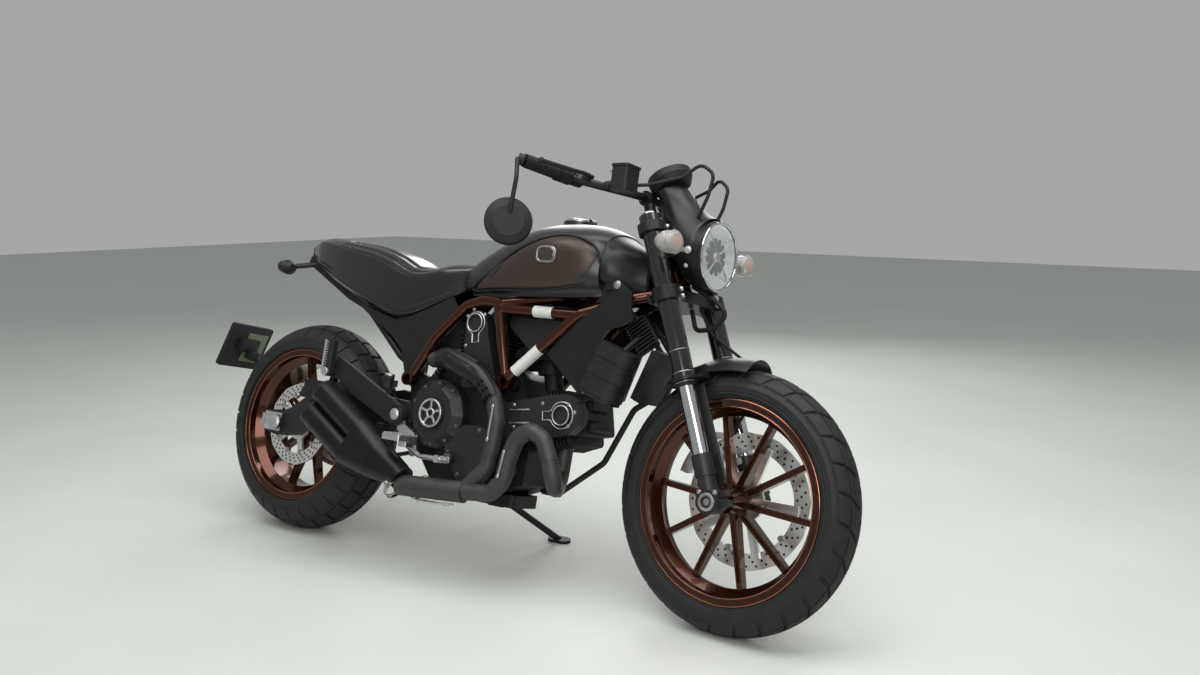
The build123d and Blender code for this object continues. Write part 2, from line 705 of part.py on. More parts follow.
def make_brake_hoses():
    """Hoses from the master cylinders over the cowl, and the front caliper's hose down the left leg."""
    x = HEADLIGHT[0]
    with BuildPart() as hoses:
        tube([(x - 208, -124, 1058), (x - 166, -96, 1066), (x - 86, -70, 1090), (x - 44, -58, 1126),
              (x - 4, -56, 1100),
              (x - 14, -56, 1046), (x - 40, -50, 990)], 4.5, 24)
        tube([(x - 206, 124, 1058), (x - 160, 96, 1070), (x - 90, 66, 1086), (x - 52, 50, 1112),
              (x - 22, 48, 1086),
              (x - 30, 48, 1036), (x - 50, 46, 984)], 4.5, 22)
        tube([(x - 61.4, 50, 772.7), (x - 26, 66, 712), (x + 58, 74, 662), (x + 84, 76, 596),
              (x + 82, 77, 520),
              (x + 36, 77, 437)], 4.0, 18)
        tube([(x - 56, -8, 826), (x + 14, -6, 792), (x + 48, 0, 762), (x + 14, 0, 722), (x - 40, 4, 716),
              (x - 66, 16, 768)], 6.0, 20)
    return hoses.part


# ---------------------------------------------------------------- frame and engine
HEAD_LOW = LOWER_YOKE[1] + HEAD_GAP
HEAD_HIGH = UPPER_YOKE[0] - HEAD_GAP
LUG_REAR = (470.0, 499.0)
LUG_FRONT = (806.0, 523.0)
LUG_HALF = (CASE_HALF, FRAME_HALF_REAR + 10)


def make_frame():
    """Trellis of bent tubes from the steering head to the engine's lugs."""
    low = from_axis(0, 0, HEAD_LOW)
    high = from_axis(0, 0, HEAD_HIGH)
    rear = FRAME_HALF_REAR
    front = FRAME_HALF_FRONT
    with BuildPart() as frame:
        for side in (1, -1):
            tube(both_sides([(LUG_REAR[0] + 14, rear, LUG_REAR[1] + 14), (546, rear, 621), (640, rear, 716),
                             (700, rear, 734), (748, rear, 732)], side), FRAME_TUBE, 40)
            tube(both_sides([(744, rear, 738), (LUG_FRONT[0] - 4, rear, LUG_FRONT[1] + 16)], side), FRAME_TUBE)
            tube(both_sides([(746, rear, 716), (994, front, 718)], side), FRAME_TUBE)
            tube(both_sides([(LUG_FRONT[0] + 6, rear, LUG_FRONT[1] + 12), (994, front, 720), (1110, 62, 775),
                             (low[0] - 4, 12, low[2] + 14)], side), FRAME_TUBE, 60)
            tube(both_sides([(752, rear - 6, 730), (960, 66, 772), (high[0] - 4, 12, high[2] - 16)], side),
                 FRAME_TUBE - 1, 60)
            tube(both_sides([(1000, front - 2, 722), (1010, 50, 786)], side), FRAME_TUBE - 3)
            drum(LUG_REAR[0], LUG_REAR[1], 20, side * LUG_HALF[0], side * LUG_HALF[1])
            drum(LUG_FRONT[0], LUG_FRONT[1], 20, side * LUG_HALF[0], side * LUG_HALF[1])
            drum(LUG_REAR[0], LUG_REAR[1], 12, side * LUG_HALF[0], side * LUG_HALF[1], mode=Mode.SUBTRACT)
            drum(LUG_FRONT[0], LUG_FRONT[1], 12, side * LUG_HALF[0], side * LUG_HALF[1], mode=Mode.SUBTRACT)
        tube([(1010, 50, 786), (1010, -50, 786)], FRAME_TUBE - 3)
        tube([(748, rear, 732), (748, -rear, 732)], FRAME_TUBE - 3)
        tube([low, high], HEAD_TUBE_RADIUS)
        tube([from_axis(0, 0, HEAD_LOW - 2), from_axis(0, 0, HEAD_HIGH + 2)], STEM_RADIUS + 1,
             mode=Mode.SUBTRACT)
    return frame.part


def make_subframe():
    """Seat rails behind the frame, with the lower stays and a rear loop."""
    with BuildPart() as rails:
        for side in (1, -1):
            tube(both_sides([(640, 98, 716), (420, 96, 672), (250, 92, 700), (60, 74, 778), (-20, 40, 812)],
                            side), SUBFRAME_TUBE, 40)
            tube(both_sides([(486, 98, 520), (400, 96, 560), (240, 92, 690)], side), SUBFRAME_TUBE, 30)
            tube(both_sides([(640, 98, 716), (640, FRAME_HALF_REAR - 12, 716)], side), SUBFRAME_TUBE)
            tube(both_sides([(486, 98, 522), (486, FRAME_HALF_REAR - 12, 522)], side), SUBFRAME_TUBE)
        tube([(-20, 46, 812), (-20, -46, 812)], SUBFRAME_TUBE)
        tube([(250, 92, 700), (250, -92, 700)], SUBFRAME_TUBE)
        tube([(420, 96, 672), (420, -96, 672)], SUBFRAME_TUBE)
    return rails.part


def make_crankcase():
    outline = [(548, 522), (600, 556), (700, 548), (772, 560), (826, 540), (862, 470), (884, 350), (880, 262),
               (790, 226),
               (660, 212), (570, 226), (508, 300), (474, 360), (460, 420), (470, 468)]
    with BuildPart() as case:
        plate(outline, 82, -82, 10)
        for low, high in ((82, CASE_HALF), (-82, -CASE_HALF)):
            drum(CRANK[0], CRANK[1], 112, low, high)
            drum(LUG_FRONT[0], LUG_FRONT[1], 22, low, high)
            drum(LUG_REAR[0], LUG_REAR[1], 22, low, high)
            drum(PIVOT[0], PIVOT[1], 34, low, high)
            plate([(462, 492), (496, 360), (560, 380), (560, 520)], low, high)
            plate([(560, 500), (700, 520), (860, 420), (868, 300), (780, 240), (600, 240), (530, 330)], low,
                  high, 20)
        plate([(420, 446), (540, 446), (600, 456), (640, 420), (640, 350), (600, 318), (420, 318)],
              CHAIN_POCKET, CASE_HALF + 1,
              mode=Mode.SUBTRACT)
        drum(PIVOT[0], PIVOT[1], 18, CHAIN_POCKET - 1, CASE_HALF)
        drum(FRONT_SPROCKET[0], FRONT_SPROCKET[1], chain_radius(FRONT_SPROCKET_TEETH), CHAIN_POCKET - 1,
             CHAIN_Y + 5)
        drum(PIVOT[0], PIVOT[1], PIVOT_RADIUS, CASE_HALF, -CASE_HALF, mode=Mode.SUBTRACT)
        block((640, 840), (-60, 60), (196, 230), 14)
        drum(840, 300, 34, -CASE_HALF, -CASE_HALF - 30)
        tube([(850, 60, 252), (905, 60, 252)], 14)
        add_stand_bracket()
    return case.part


def add_stand_bracket():
    """Two lugs and the pin that carry the side stand, on a foot below the crankcase."""
    eye = stand_plane()
    near = STAND_EYE_HALF + SEAT_CLEARANCE
    block((660, 708), (70, 90), (178, 236), 3)
    for start in (near, -near - 6):
        with BuildSketch(eye.offset(start)) as lug:
            Circle(STAND_EYE_RADIUS + 2)
            with Locations((0, 22)):
                Rectangle(32, 44)
        extrude(lug.sketch, amount=6)
    with BuildSketch(eye.offset(-near - 9)) as pin:
        Circle(STAND_PIN_RADIUS)
    extrude(pin.sketch, amount=2 * near + 18)


def cylinder_plane(angle):
    """Section plane through the crankshaft whose normal runs up a cylinder."""
    turn = radians(angle)
    return Plane(origin=(CRANK[0], 0, CRANK[1]), x_dir=(0, 1, 0), z_dir=(cos(turn), 0, sin(turn)))


def make_one_cylinder(angle):
    """Finned barrel and head with the rocker covers and ports."""
    base = cylinder_plane(angle)
    with BuildPart() as cylinder:
        with BuildSketch(base.offset(112)):
            Circle(58)
        extrude(amount=90)
        with BuildSketch(base.offset(196)):
            RectangleRounded(118, 112, 12)
        extrude(amount=88)
        for count in range(8):
            with BuildSketch(base.offset(122 + count * FIN_PITCH)):
                RectangleRounded(CYLINDER_SIZE + (16 if count > 1 else 0), CYLINDER_SIZE, 22)
            extrude(amount=FIN_THICKNESS)
        for count in range(6):
            with BuildSketch(base.offset(212 + count * FIN_PITCH)):
                RectangleRounded(CYLINDER_SIZE + 34, CYLINDER_SIZE + 14 - count * 3, 16)
            extrude(amount=FIN_THICKNESS)
        with BuildSketch(base.offset(278)):
            RectangleRounded(150, 96, 14)
        extrude(amount=36)
        for side in (1, -1):
            with BuildSketch(base.offset(306)):
                with Locations((0, side * 26)):
                    RectangleRounded(104, 38, 12)
            extrude(amount=22, taper=20)
    return cylinder.part


HORIZONTAL = CYLINDER_TILT
VERTICAL = CYLINDER_TILT + 90


def make_cylinders():
    with BuildPart() as pair:
        add(make_one_cylinder(HORIZONTAL))
        add(make_one_cylinder(VERTICAL))
    return pair.part


def make_engine_covers():
    """Clutch and crankcase covers on the right, generator and sprocket covers on the left."""
    with BuildPart() as covers:
        clutch_x, clutch_z = CLUTCH
        drum(clutch_x, clutch_z, CLUTCH_RADIUS, -CASE_HALF, -CASE_HALF - 30)
        rim = Plane(origin=(clutch_x, -CASE_HALF - 30, clutch_z), x_dir=(1, 0, 0), z_dir=(0, -1, 0))
        with BuildSketch(rim):
            RegularPolygon(CLUTCH_RADIUS, 10)
        with BuildSketch(rim.offset(20)):
            RegularPolygon(CLUTCH_RADIUS - 22, 10)
        loft(ruled=True)
        drum(clutch_x, clutch_z, 36, -CASE_HALF - 48, -CASE_HALF - 55)
        drum(clutch_x, clutch_z, 28, -CASE_HALF - 51, -CASE_HALF - 56, mode=Mode.SUBTRACT)
        plate([(640, 330), (700, 250), (800, 240), (836, 300), (822, 372), (760, 400), (700, 396)],
              -CASE_HALF, -CASE_HALF - 30, 18)
        drum(672, 304, 17, -CASE_HALF, -CASE_HALF - 44)
        drum(CRANK[0], CRANK[1], 84, CASE_HALF, CASE_HALF + 40)
        drum(CRANK[0], CRANK[1], 62, CASE_HALF + 38, CASE_HALF + 52)
        plate([(532, 440), (560, 470), (640, 480), (690, 500), (800, 470), (850, 380), (820, 280), (720, 240),
               (640, 280),
               (540, 330)], CASE_HALF + 3, CASE_HALF + 22, 14)
        plate([(650, 470), (690, 490), (790, 460), (836, 380), (810, 290), (720, 250), (650, 290)], CASE_HALF,
              CASE_HALF + 4, 10)
    return covers.part


BELT_LENGTH = 284.0
BELTS = (
    (HORIZONTAL, ((108, 54), (108, -42), (250, -50), (300, -50), (332, -30), (344, 0), (332, 30), (300, 52),
                  (250, 56))),
    (99.0, ((102, 74), (112, -46), (250, -36), (292, -32), (316, -12), (318, 8), (304, 28), (276, 38),
            (240, 42))),
)


def make_belt_covers():
    """Covers of the two cam belts, on the right of each cylinder, and the cover over the belts' middle."""
    inner = -94.0
    with BuildPart() as covers:
        for angle, outline in BELTS:
            turn = radians(angle)
            flip = 1 if angle == HORIZONTAL else -1
            shape = []
            for along, across in outline:
                shape.append((CRANK[0] + along * cos(turn) - flip * across * sin(turn),
                              CRANK[1] + along * sin(turn) + flip * across * cos(turn)))
            plate(shape, inner, inner - 36, 8)
            ring = (CRANK[0] + BELT_LENGTH * cos(turn), CRANK[1] + BELT_LENGTH * sin(turn))
            drum(ring[0], ring[1], 27, inner - 34, inner - 42)
            drum(ring[0], ring[1], 19, inner - 38, inner - 43, mode=Mode.SUBTRACT)
    return covers.part


def make_intake():
    """Throttle body between the cylinders and the airbox above it."""
    with BuildPart() as intake:
        plate([(770, 650), (960, 650), (985, 700), (930, 742), (770, 728)], 78, -78, 14)
        tube([(850, 0, 660), (862, 0, 560)], 36)
        tube([(862, 0, 590), (790, 0, 590), (748, 0, 604)], 25, 20)
        tube([(862, 0, 580), (880, 0, 520), (905, 0, 492)], 25, 20)
        block((800, 930), (-66, 66), (596, 636), 12)
        for side in (1, -1):
            plate([(772, 676), (780, 700), (956, 700), (966, 682), (878, 612), (860, 608)], side * 76,
                  side * 100, 5)
    return intake.part


def make_exhaust():
    """Both headers on the right with their shields, joined ahead of the silencer."""
    end = silencer_point(394, 13)
    with BuildPart() as exhaust:
        tube([(958, -24, 386), (962, -34, 300), (992, -90, 272), (1032, -160, 282), (1012, -168, 345),
              (985, -170, 395),
              (940, -170, 412), (905, -170, 385), (887, -170, 330), (880, -170, 272), (850, -173, 236),
              (720, -184, 223)],
             HEADER_RADIUS, 30)
        tube([(600, -40, 596), (560, -70, 576), (560, -142, 556), (640, -162, 566), (740, -162, 536),
              (806, -164, 484),
              (828, -164, 420), (827, -164, 370), (818, -164, 296), (768, -172, 238)], HEADER_RADIUS - 0.5, 26)
        tube([(770, -178, 226), (700, -186, 222), (end[0], SILENCER_Y, end[1])], COLLECTOR_RADIUS, 40)
        tube([(656, -166, 562), (732, -166, 539)], HEADER_RADIUS + 8)
    return exhaust.part


def silencer_point(along, across):
    """A point on the silencer's side view: along runs forward and down it, across up from its middle line."""
    turn = radians(SILENCER_TILT)
    height = SILENCER_HEIGHT + across
    return (along * cos(turn) + height * sin(turn), height * cos(turn) - along * sin(turn))


def make_silencer():
    """Two stacked barrels that taper into one collector, with an end cap on each."""
    normal = (cos(radians(SILENCER_TILT)), 0, -sin(radians(SILENCER_TILT)))
    with BuildPart() as silencer:
        for across in (BARREL_SPACING / 2, -BARREL_SPACING / 2):
            low = silencer_point(BARREL_START, across)
            high = silencer_point(BARREL_START + BARREL_LENGTH, across)
            tube([(low[0], SILENCER_Y, low[1]), (high[0], SILENCER_Y, high[1])], BARREL_RADIUS)
        for along, across, length, width in ((BARREL_START + BARREL_LENGTH - 8, 0, 155, 81), (286, 12, 112,
            78), (372, 31, 70, 64)):
            centre = silencer_point(along, across)
            with BuildSketch(Plane(origin=(centre[0], SILENCER_Y, centre[1]), x_dir=(0, 1, 0), z_dir=normal)):
                SlotOverall(length, width, rotation=90)
        loft(ruled=True)
        cone_end = centre
        neck_end = silencer_point(392, 31)
        tube([(cone_end[0], SILENCER_Y, cone_end[1]), (neck_end[0], SILENCER_Y, neck_end[1])],
             COLLECTOR_RADIUS + 6)
        for across in (BARREL_SPACING / 2, -BARREL_SPACING / 2):
            low = silencer_point(BARREL_START, across)
            inside = silencer_point(BARREL_START + 40, across)
            tube([(low[0], SILENCER_Y, low[1]), (inside[0], SILENCER_Y, inside[1])], BARREL_RADIUS - 14,
                 mode=Mode.SUBTRACT)
    return silencer.part


def make_oil_cooler():
    """Slim finned cooler ahead of the engine, with its two hoses."""
    lean_out = Plane(origin=(1190, 0, 585), x_dir=(0, 1, 0), z_dir=(0.945, 0, -0.327))
    with BuildPart() as cooler:
        with BuildSketch(lean_out.offset(-11)):
            Rectangle(112, 138)
        extrude(amount=22)
        with BuildSketch(lean_out.offset(-14)):
            with Locations((60, 0), (-60, 0)):
                Rectangle(12, 132)
        extrude(amount=28)
        for side in (1, -1):
            tube([(1206, side * 28, 648), (1150, side * 30, 712), (1082, side * 40, 760)], 7, 30)
        tube([(1168, 40, 540), (1110, 40, 500), (1030, 60, 350), (905, 60, 250)], 8, 40)
    return cooler.part


def make_canister():
    """Ribbed charcoal canister and finned regulator on the right, ahead of the engine."""
    lower = Plane(origin=(1096, -117, 514), x_dir=(0.948, 0, -0.318), z_dir=(0.318, 0, 0.948))
    fins = Plane(origin=(1160, -46, 686), x_dir=(0.78, 0, 0.626), z_dir=(0, -1, 0))
    with BuildPart() as canister:
        with BuildSketch(lower):
            RectangleRounded(108, 80, 30)
        extrude(amount=136)
        for height in (10, 56, 102):
            with BuildSketch(lower.offset(height)):
                RectangleRounded(114, 86, 33)
            extrude(amount=24)
        with BuildSketch(fins):
            Rectangle(58, 86)
        extrude(amount=12)
        with BuildSketch(fins.offset(12)):
            for count in range(9):
                with Locations((0, -38 + count * 9.5)):
                    Rectangle(58, 3.5)
        extrude(amount=13)
        tube([(1132, -100, 630), (1156, -56, 684)], 8)
        tube([(1136, -52, 690), (1092, -62, 764)], 7)
    return canister.part


# ---------------------------------------------------------------- tank, seat and covers
TANK_FRONT = 1050.0
TANK_SECTIONS = (
    (566, 70, 822, 752), (630, 104, 871, 750), (722, 130, 923, 750), (818, 152, 959, 754), (915, 160, 971,
        758),
    (1000, 150, 966, 764), (TANK_FRONT, 128, 948, 772),
)


def make_tank():
    with BuildPart() as tank:
        for x, half, top, bottom in TANK_SECTIONS:
            add(shell_section(x, half, top, bottom))
        loft()
        plate([(540, 700), (1130, 700), (1130, 930), (1080, 880), (980, 810), (760, 776), (540, 766)], 78, -78,
              mode=Mode.SUBTRACT)
        tube([(CAP_CENTRE[0], 0, CAP_CENTRE[1] - 24), (CAP_CENTRE[0], 0, CAP_CENTRE[1])], CAP_RADIUS + 7)
        x, z = CAP_HINGE
        near = CAP_BARREL_HALF + SEAT_CLEARANCE
        for side in (1, -1):
            drum(x, z, CAP_BARREL_RADIUS, side * near, side * (near + 4))
            block((x - CAP_BARREL_RADIUS, x + CAP_BARREL_RADIUS), sorted((side * near, side * (near + 4))),
                  (z - 22, z))
        drum(x, z, CAP_PIN_RADIUS, near + 1, -near - 1)
    return tank.part


def make_fuel_cap():
    """Filler lid, hinged at its front edge."""
    with BuildPart() as cap:
        drop = CAP_CENTRE[1] + SEAT_CLEARANCE
        with BuildSketch(Plane.XY.offset(drop)):
            with Locations((CAP_CENTRE[0], 0)):
                Circle(CAP_RADIUS)
        extrude(amount=9)
        fillet(cap.edges().group_by(Axis.Z)[-1], radius=3)
        block((CAP_CENTRE[0] + CAP_RADIUS - 6, CAP_HINGE[0]), (-CAP_BARREL_HALF, CAP_BARREL_HALF),
              (drop, drop + 7))
        drum(*CAP_HINGE, CAP_BARREL_RADIUS, CAP_BARREL_HALF, -CAP_BARREL_HALF)
        drum(*CAP_HINGE, CAP_PIN_RADIUS + RUNNING_CLEARANCE, CAP_BARREL_HALF, -CAP_BARREL_HALF,
             mode=Mode.SUBTRACT)
    return cap.part


def make_tank_panels():
    """Side panels that bulge out of the tank, one each side."""
    outline = [(667, 764), (761, 770), (923, 779), (997, 795), (1036, 829), (1050, 868), (1024, 900),
               (960, 917),
               (899, 911), (809, 871), (719, 815)]
    with BuildPart() as panels:
        for side in (1, -1):
            near = Plane(origin=(0, side * 100, 0), x_dir=(1, 0, 0), z_dir=(0, -1, 0))
            with BuildSketch(near) as face:
                with BuildLine():
                    Polyline(*outline, close=True)
                make_face()
                fillet(face.vertices(), radius=12)
            extrude(amount=-side * 68, taper=9)
    return panels.part


def make_front_panels():
    """Cover that tapers from the tank to the steering head, and the flat wings below it."""
    with BuildPart() as cover:
        for x, half, top, bottom in ((TANK_FRONT + SEAT_CLEARANCE, 126, 944, 788), (1090, 108, 922, 786),
                                     (1122, 78, 908, 784),
                                     (1150, 57, 894, 786)):
            add(shell_section(x, half, top, bottom))
        loft()
        plate([(1000, 700), (1200, 700), (1200, 864), (1130, 880), (1000, 890)], 44, -44, mode=Mode.SUBTRACT)
    with BuildPart() as panels:
        add(cover.part)
        for side in (1, -1):
            plate([(914, 612), (1034, 514), (1078, 668), (1092, 688), (1158, 714), (1147, 752), (1144, 790),
                   (1096, 794),
                   (1056, 750), (1000, 716)], side * 103, side * 111, 5)
            plate([(TANK_FRONT + 1, 752), (1100, 752), (1100, 800), (TANK_FRONT + 1, 800)], side * 90,
                  side * 104, 4)
    return panels.part


def make_seat():
    with BuildPart() as seat:
        for x, half, top, bottom in ((-62, 62, 884, 836), (0, 92, 905, 800), (110, 118, 897, 752),
                                     (238, 130, 884, 704),
                                     (325, 134, 861, 676), (395, 132, 832, 664), (449, 128, 828, 676),
                                     (521, 112, 845, 712),
                                     (580, 84, 848, 752), (610, 70, 846, 790)):
            add(shell_section(x, half, top, bottom, 0.66, 1.0))
        loft()
        plate([(-100, 780), (160, 700), (360, 640), (460, 640), (700, 740), (700, 790), (480, 728),
               (400, 716), (250, 742),
               (60, 812), (-30, 850), (-100, 850)], 104, -104, 10, mode=Mode.SUBTRACT)
    return seat.part


def make_side_covers():
    """Panels below the seat on each side."""
    outline = [(603, 706), (533, 634), (470, 527), (457, 523), (446, 506), (420, 575), (372, 614), (262, 672),
               (196, 712),
               (280, 684), (380, 660), (440, 676), (522, 712), (578, 738)]
    with BuildPart() as covers:
        for side in (1, -1):
            plate(outline, side * 112, side * 119, 4)
            for x, z in ((455, 536), (480, 682)):
                drum(x, z, 8, side * 100, side * 113)
        plate([(310, 690), (440, 660), (530, 690), (530, 600), (490, 540), (420, 590), (310, 660)], 80, -80,
              10)
    return covers.part


def make_tail():
    """Tail tray under the seat, with the tail light and the rear signals on their stalks."""
    with BuildPart() as tail:
        plate([(-70, 812), (-64, 834), (-30, 846), (60, 806), (250, 738), (296, 712), (296, 664), (262, 664),
               (126, 712)],
              70, -70, 6)
        block((-84, -58), (-52, 52), (836, 866), 10)
        for side in (1, -1):
            tube([(-40, side * 60, 812), (-88, side * 108, 794)], 8)
            shell = Plane(origin=(-94, side * 126, 788), x_dir=(0, 1, 0), z_dir=(-1, 0, 0))
            with BuildSketch(shell):
                Ellipse(31, 23)
            with BuildSketch(shell.offset(20)):
                Ellipse(27, 19)
            loft()
            with BuildSketch(shell):
                Ellipse(31, 23)
            with BuildSketch(shell.offset(-20)):
                Ellipse(13, 10)
            loft()
    return tail.part


# ---------------------------------------------------------------- rear suspension and drive
ARM_TOP = [(489, 436), (430, 438), (330, 446), (240, 464), (170, 450), (108, 410), (50, 368), (16, 352),
           (-58, 348)]
ARM_BOTTOM = [(-66, 336), (-62, 284), (0, 276), (70, 286), (140, 336), (240, 378), (360, 372), (489, 356)]


def make_swingarm():
    """Twin-sided arched arm on the crankcase's pivot, with the rear axle at its end."""
    with BuildPart() as arm:
        for side in (1, -1):
            plate(ARM_TOP + ARM_BOTTOM, side * ARM_INNER, side * (ARM_OUTER - 6), 14)
            plate([(420, 430), (240, 452), (172, 440), (112, 402), (122, 392), (178, 424), (250, 434),
                   (420, 410)],
                  side * (ARM_OUTER - 7), side * ARM_OUTER, 4)
            plate([(-56, 342), (20, 346), (20, 286), (-56, 288)], side * (ARM_OUTER - 7),
                  side * (ARM_OUTER + 2), 8)
            drum(PIVOT[0], PIVOT[1], 40, side * ARM_INNER, side * ARM_OUTER)
            drum(PIVOT[0], PIVOT[1], 18, side * CASE_HALF, side * ARM_INNER)
        tube([(358, ARM_INNER + 2, 380), (358, -ARM_INNER - 2, 380)], 22)
        drum(PIVOT[0], PIVOT[1], PIVOT_RADIUS, ARM_OUTER + 8, -ARM_OUTER - 8)
        drum(0, REAR_TYRE_RADIUS, AXLE_RADIUS, ARM_OUTER + 10, -ARM_OUTER - 10)
        drum(0, REAR_TYRE_RADIUS, 22, ARM_OUTER + 1, ARM_OUTER + 12)
        drum(0, REAR_TYRE_RADIUS, 22, -ARM_OUTER - 1, -ARM_OUTER - 12)
        drum(0, REAR_TYRE_RADIUS, AXLE_RADIUS + 6, CHAIN_Y + 6, ARM_INNER)
        drum(0, REAR_TYRE_RADIUS, AXLE_RADIUS + 6, -REAR_DISC_Y - 9, -ARM_INNER)
        drum(0, REAR_TYRE_RADIUS, AXLE_BORE_RADIUS, ARM_OUTER + 12, -ARM_OUTER - 12, mode=Mode.SUBTRACT)
        for low, high in ((SHOCK_Y - 17, SHOCK_Y - 9.3), (SHOCK_Y + 9.3, SHOCK_Y + 15)):
            plate([(290, 430), (350, 430), (336, 478), (318, 488), (300, 478)], low, high, 5)
    return arm.part


def make_shock():
    """Coil-over shock on the left, from the swingarm to the frame."""
    low = (318, SHOCK_Y, 470)
    high = (424, SHOCK_Y, 640)
    direction = [(b - a) for a, b in zip(low, high)]
    def at(share):
        return tuple(a + d * share for a, d in zip(low, direction))
    with BuildPart() as shock:
        tube([at(0), at(1)], 8)
        tube([at(0.12), at(0.24)], 21)
        tube([at(0.66), at(0.90)], 19)
        tube([at(0.78), at(0.84)], 22)
        for count in range(8):
            share = 0.27 + count * 0.067
            tube([at(share - 0.018), at(share + 0.018)], 22)
        drum(low[0], low[2], 15, low[1] - 9, low[1] + 9)
        drum(high[0], high[2], 15, high[1] - 16, high[1] + 9)
        drum(high[0], high[2], 9, 104, high[1] - 10)
    return shock.part


PLATE_CENTRE = (-382.0, 0.0, 528.0)
PLATE_NORMAL = (-0.939, -0.149, 0.31)


def make_plate_hanger():
    """Low number-plate holder on an arm from the swingarm's left end, behind the rear tyre."""
    with BuildPart() as hanger:
        tube([(-20, ARM_OUTER + 10, REAR_TYRE_RADIUS), (-170, ARM_OUTER + 10, 300), (-340, 130, 390),
              (-372, 30, 500)], 10, 60)
        drum(-10, REAR_TYRE_RADIUS, 30, ARM_OUTER + 12, ARM_OUTER + 18)
        back = Plane(origin=PLATE_CENTRE, x_dir=(-PLATE_NORMAL[1], PLATE_NORMAL[0], 0), z_dir=PLATE_NORMAL)
        with BuildSketch(back):
            RectangleRounded(188, 148, 8)
        extrude(amount=8)
        with BuildSketch(back.offset(8)):
            RectangleRounded(188, 148, 8)
            Rectangle(172, 132, mode=Mode.SUBTRACT)
        extrude(amount=4)
        with BuildSketch(back.offset(-14)):
            with Locations((0, 8)):
                Rectangle(80, 44)
        extrude(amount=14)
    return hanger.part


def make_rear_caliper():
    """Caliper over the rear disc, carried on the right arm."""
    gap = DISC_THICKNESS / 2 + DISC_GAP
    y = -REAR_DISC_Y
    with BuildPart() as caliper:
        block((28, 112), (y - gap - 26, y + gap + 14), (REAR_TYRE_RADIUS + 84, REAR_TYRE_RADIUS + 140), 8)
        with BuildSketch(Plane.XZ.offset(-y - gap)):
            with Locations((0, REAR_TYRE_RADIUS)):
                Circle(REAR_DISC_RADIUS + DISC_GAP)
        extrude(amount=2 * gap, mode=Mode.SUBTRACT)
        plate([(30, 400), (100, 400), (100, 440), (40, 430)], y - gap - 20, -ARM_INNER, 6)
    return caliper.part


def chain_outline(grow):
    """Side view of the chain's loop, tight round both sprockets."""
    rear = (0.0, REAR_TYRE_RADIUS)
    r1 = chain_radius(SPROCKET_TEETH) + grow
    r2 = chain_radius(FRONT_SPROCKET_TEETH) + grow
    dx = FRONT_SPROCKET[0] - rear[0]
    dz = FRONT_SPROCKET[1] - rear[1]
    span = sqrt(dx ** 2 + dz ** 2)
    heading = atan2(dz, dx)
    turn = atan2(sqrt(span ** 2 - (r1 - r2) ** 2), r1 - r2)
    def at(centre, radius, angle):
        return (centre[0] + radius * cos(angle), centre[1] + radius * sin(angle))
    up = heading + turn
    down = heading - turn
    back = heading + pi
    with BuildLine() as loop:
        ThreePointArc(at(rear, r1, up), at(rear, r1, back), at(rear, r1, down))
        Line(at(rear, r1, down), at(FRONT_SPROCKET, r2, down))
        ThreePointArc(at(FRONT_SPROCKET, r2, down), at(FRONT_SPROCKET, r2, heading), at(FRONT_SPROCKET, r2,
            up))
        Line(at(FRONT_SPROCKET, r2, up), at(rear, r1, up))
    return loop.line


def make_chain():
    outer = chain_outline(CHAIN_HEIGHT / 2)
    inner = chain_outline(SEAT_CLEARANCE + 0.2)
    with BuildPart() as chain:
        with BuildSketch(Plane.XZ.offset(-CHAIN_Y - CHAIN_WIDTH / 2)):
            add(outer)
            make_face()
        extrude(amount=CHAIN_WIDTH)
        with BuildSketch(Plane.XZ.offset(-CHAIN_Y - CHAIN_WIDTH / 2)):
            add(inner)
            make_face()
        extrude(amount=CHAIN_WIDTH, mode=Mode.SUBTRACT)
    return chain.part


def make_foot_controls():
    """Rider pegs on their hangers, the brake pedal on the right and the gear lever on the left."""
    with BuildPart() as controls:
        for side in (1, -1):
            plate([(500, 420), (520, 372), (560, 352), (580, 300), (560, 288), (536, 330), (496, 356)],
                  side * (ARM_OUTER + 8.5), side * (ARM_OUTER + 18), 6)
            tube([(560, side * (ARM_OUTER + 12), 322), (560, side * (ARM_OUTER + 40), 322)], 11)
            block((530, 592), sorted((side * (ARM_OUTER + 34), side * (ARM_OUTER + 110))), (330, 346), 5)
            block((546, 574), sorted((side * (ARM_OUTER + 30), side * (ARM_OUTER + 60))), (314, 332), 4)
            tube([(548, side * (ARM_OUTER + 24), 318), (600, side * (ARM_OUTER + 26), 296),
                  (690, side * (ARM_OUTER + 34), 300)], 7, 20)
            tube([(690, side * (ARM_OUTER + 20), 300), (690, side * (ARM_OUTER + 66), 300)], 10)
    return controls.part


def make_passenger_hangers():
    """Box arms from the swingarm's pivot back to the folded passenger pegs; the right one also holds the silencer."""
    with BuildPart() as hangers:
        for side in (1, -1):
            plate([(494, 424), (480, 368), (458, 374), (424, 388), (306, 435), (252, 468), (216, 470),
                   (222, 500),
                   (240, 532), (302, 507)], side * (ARM_OUTER + HANGER_GAP),
                   side * (ARM_OUTER + HANGER_GAP + 15), 8)
            tube([(228, side * (ARM_OUTER + 16), 488), (228, side * (ARM_OUTER + 50), 488)], 10)
            block((212, 240), sorted((side * (ARM_OUTER + 34), side * (ARM_OUTER + 56))), (480, 576), 4)
            drum(PIVOT[0], PIVOT[1], 30, side * (ARM_OUTER + 8.3), side * (ARM_OUTER + HANGER_GAP + 17))
    return hangers.part


# ---------------------------------------------------------------- side stand
def stand_plane():
    """Plane square to the stand's hinge pin, through the middle of its eye."""
    axis = Vector(*STAND_DEPLOYED).cross(Vector(*STAND_STOWED))
    return Plane(origin=STAND_PIVOT, x_dir=STAND_STOWED, z_dir=axis)


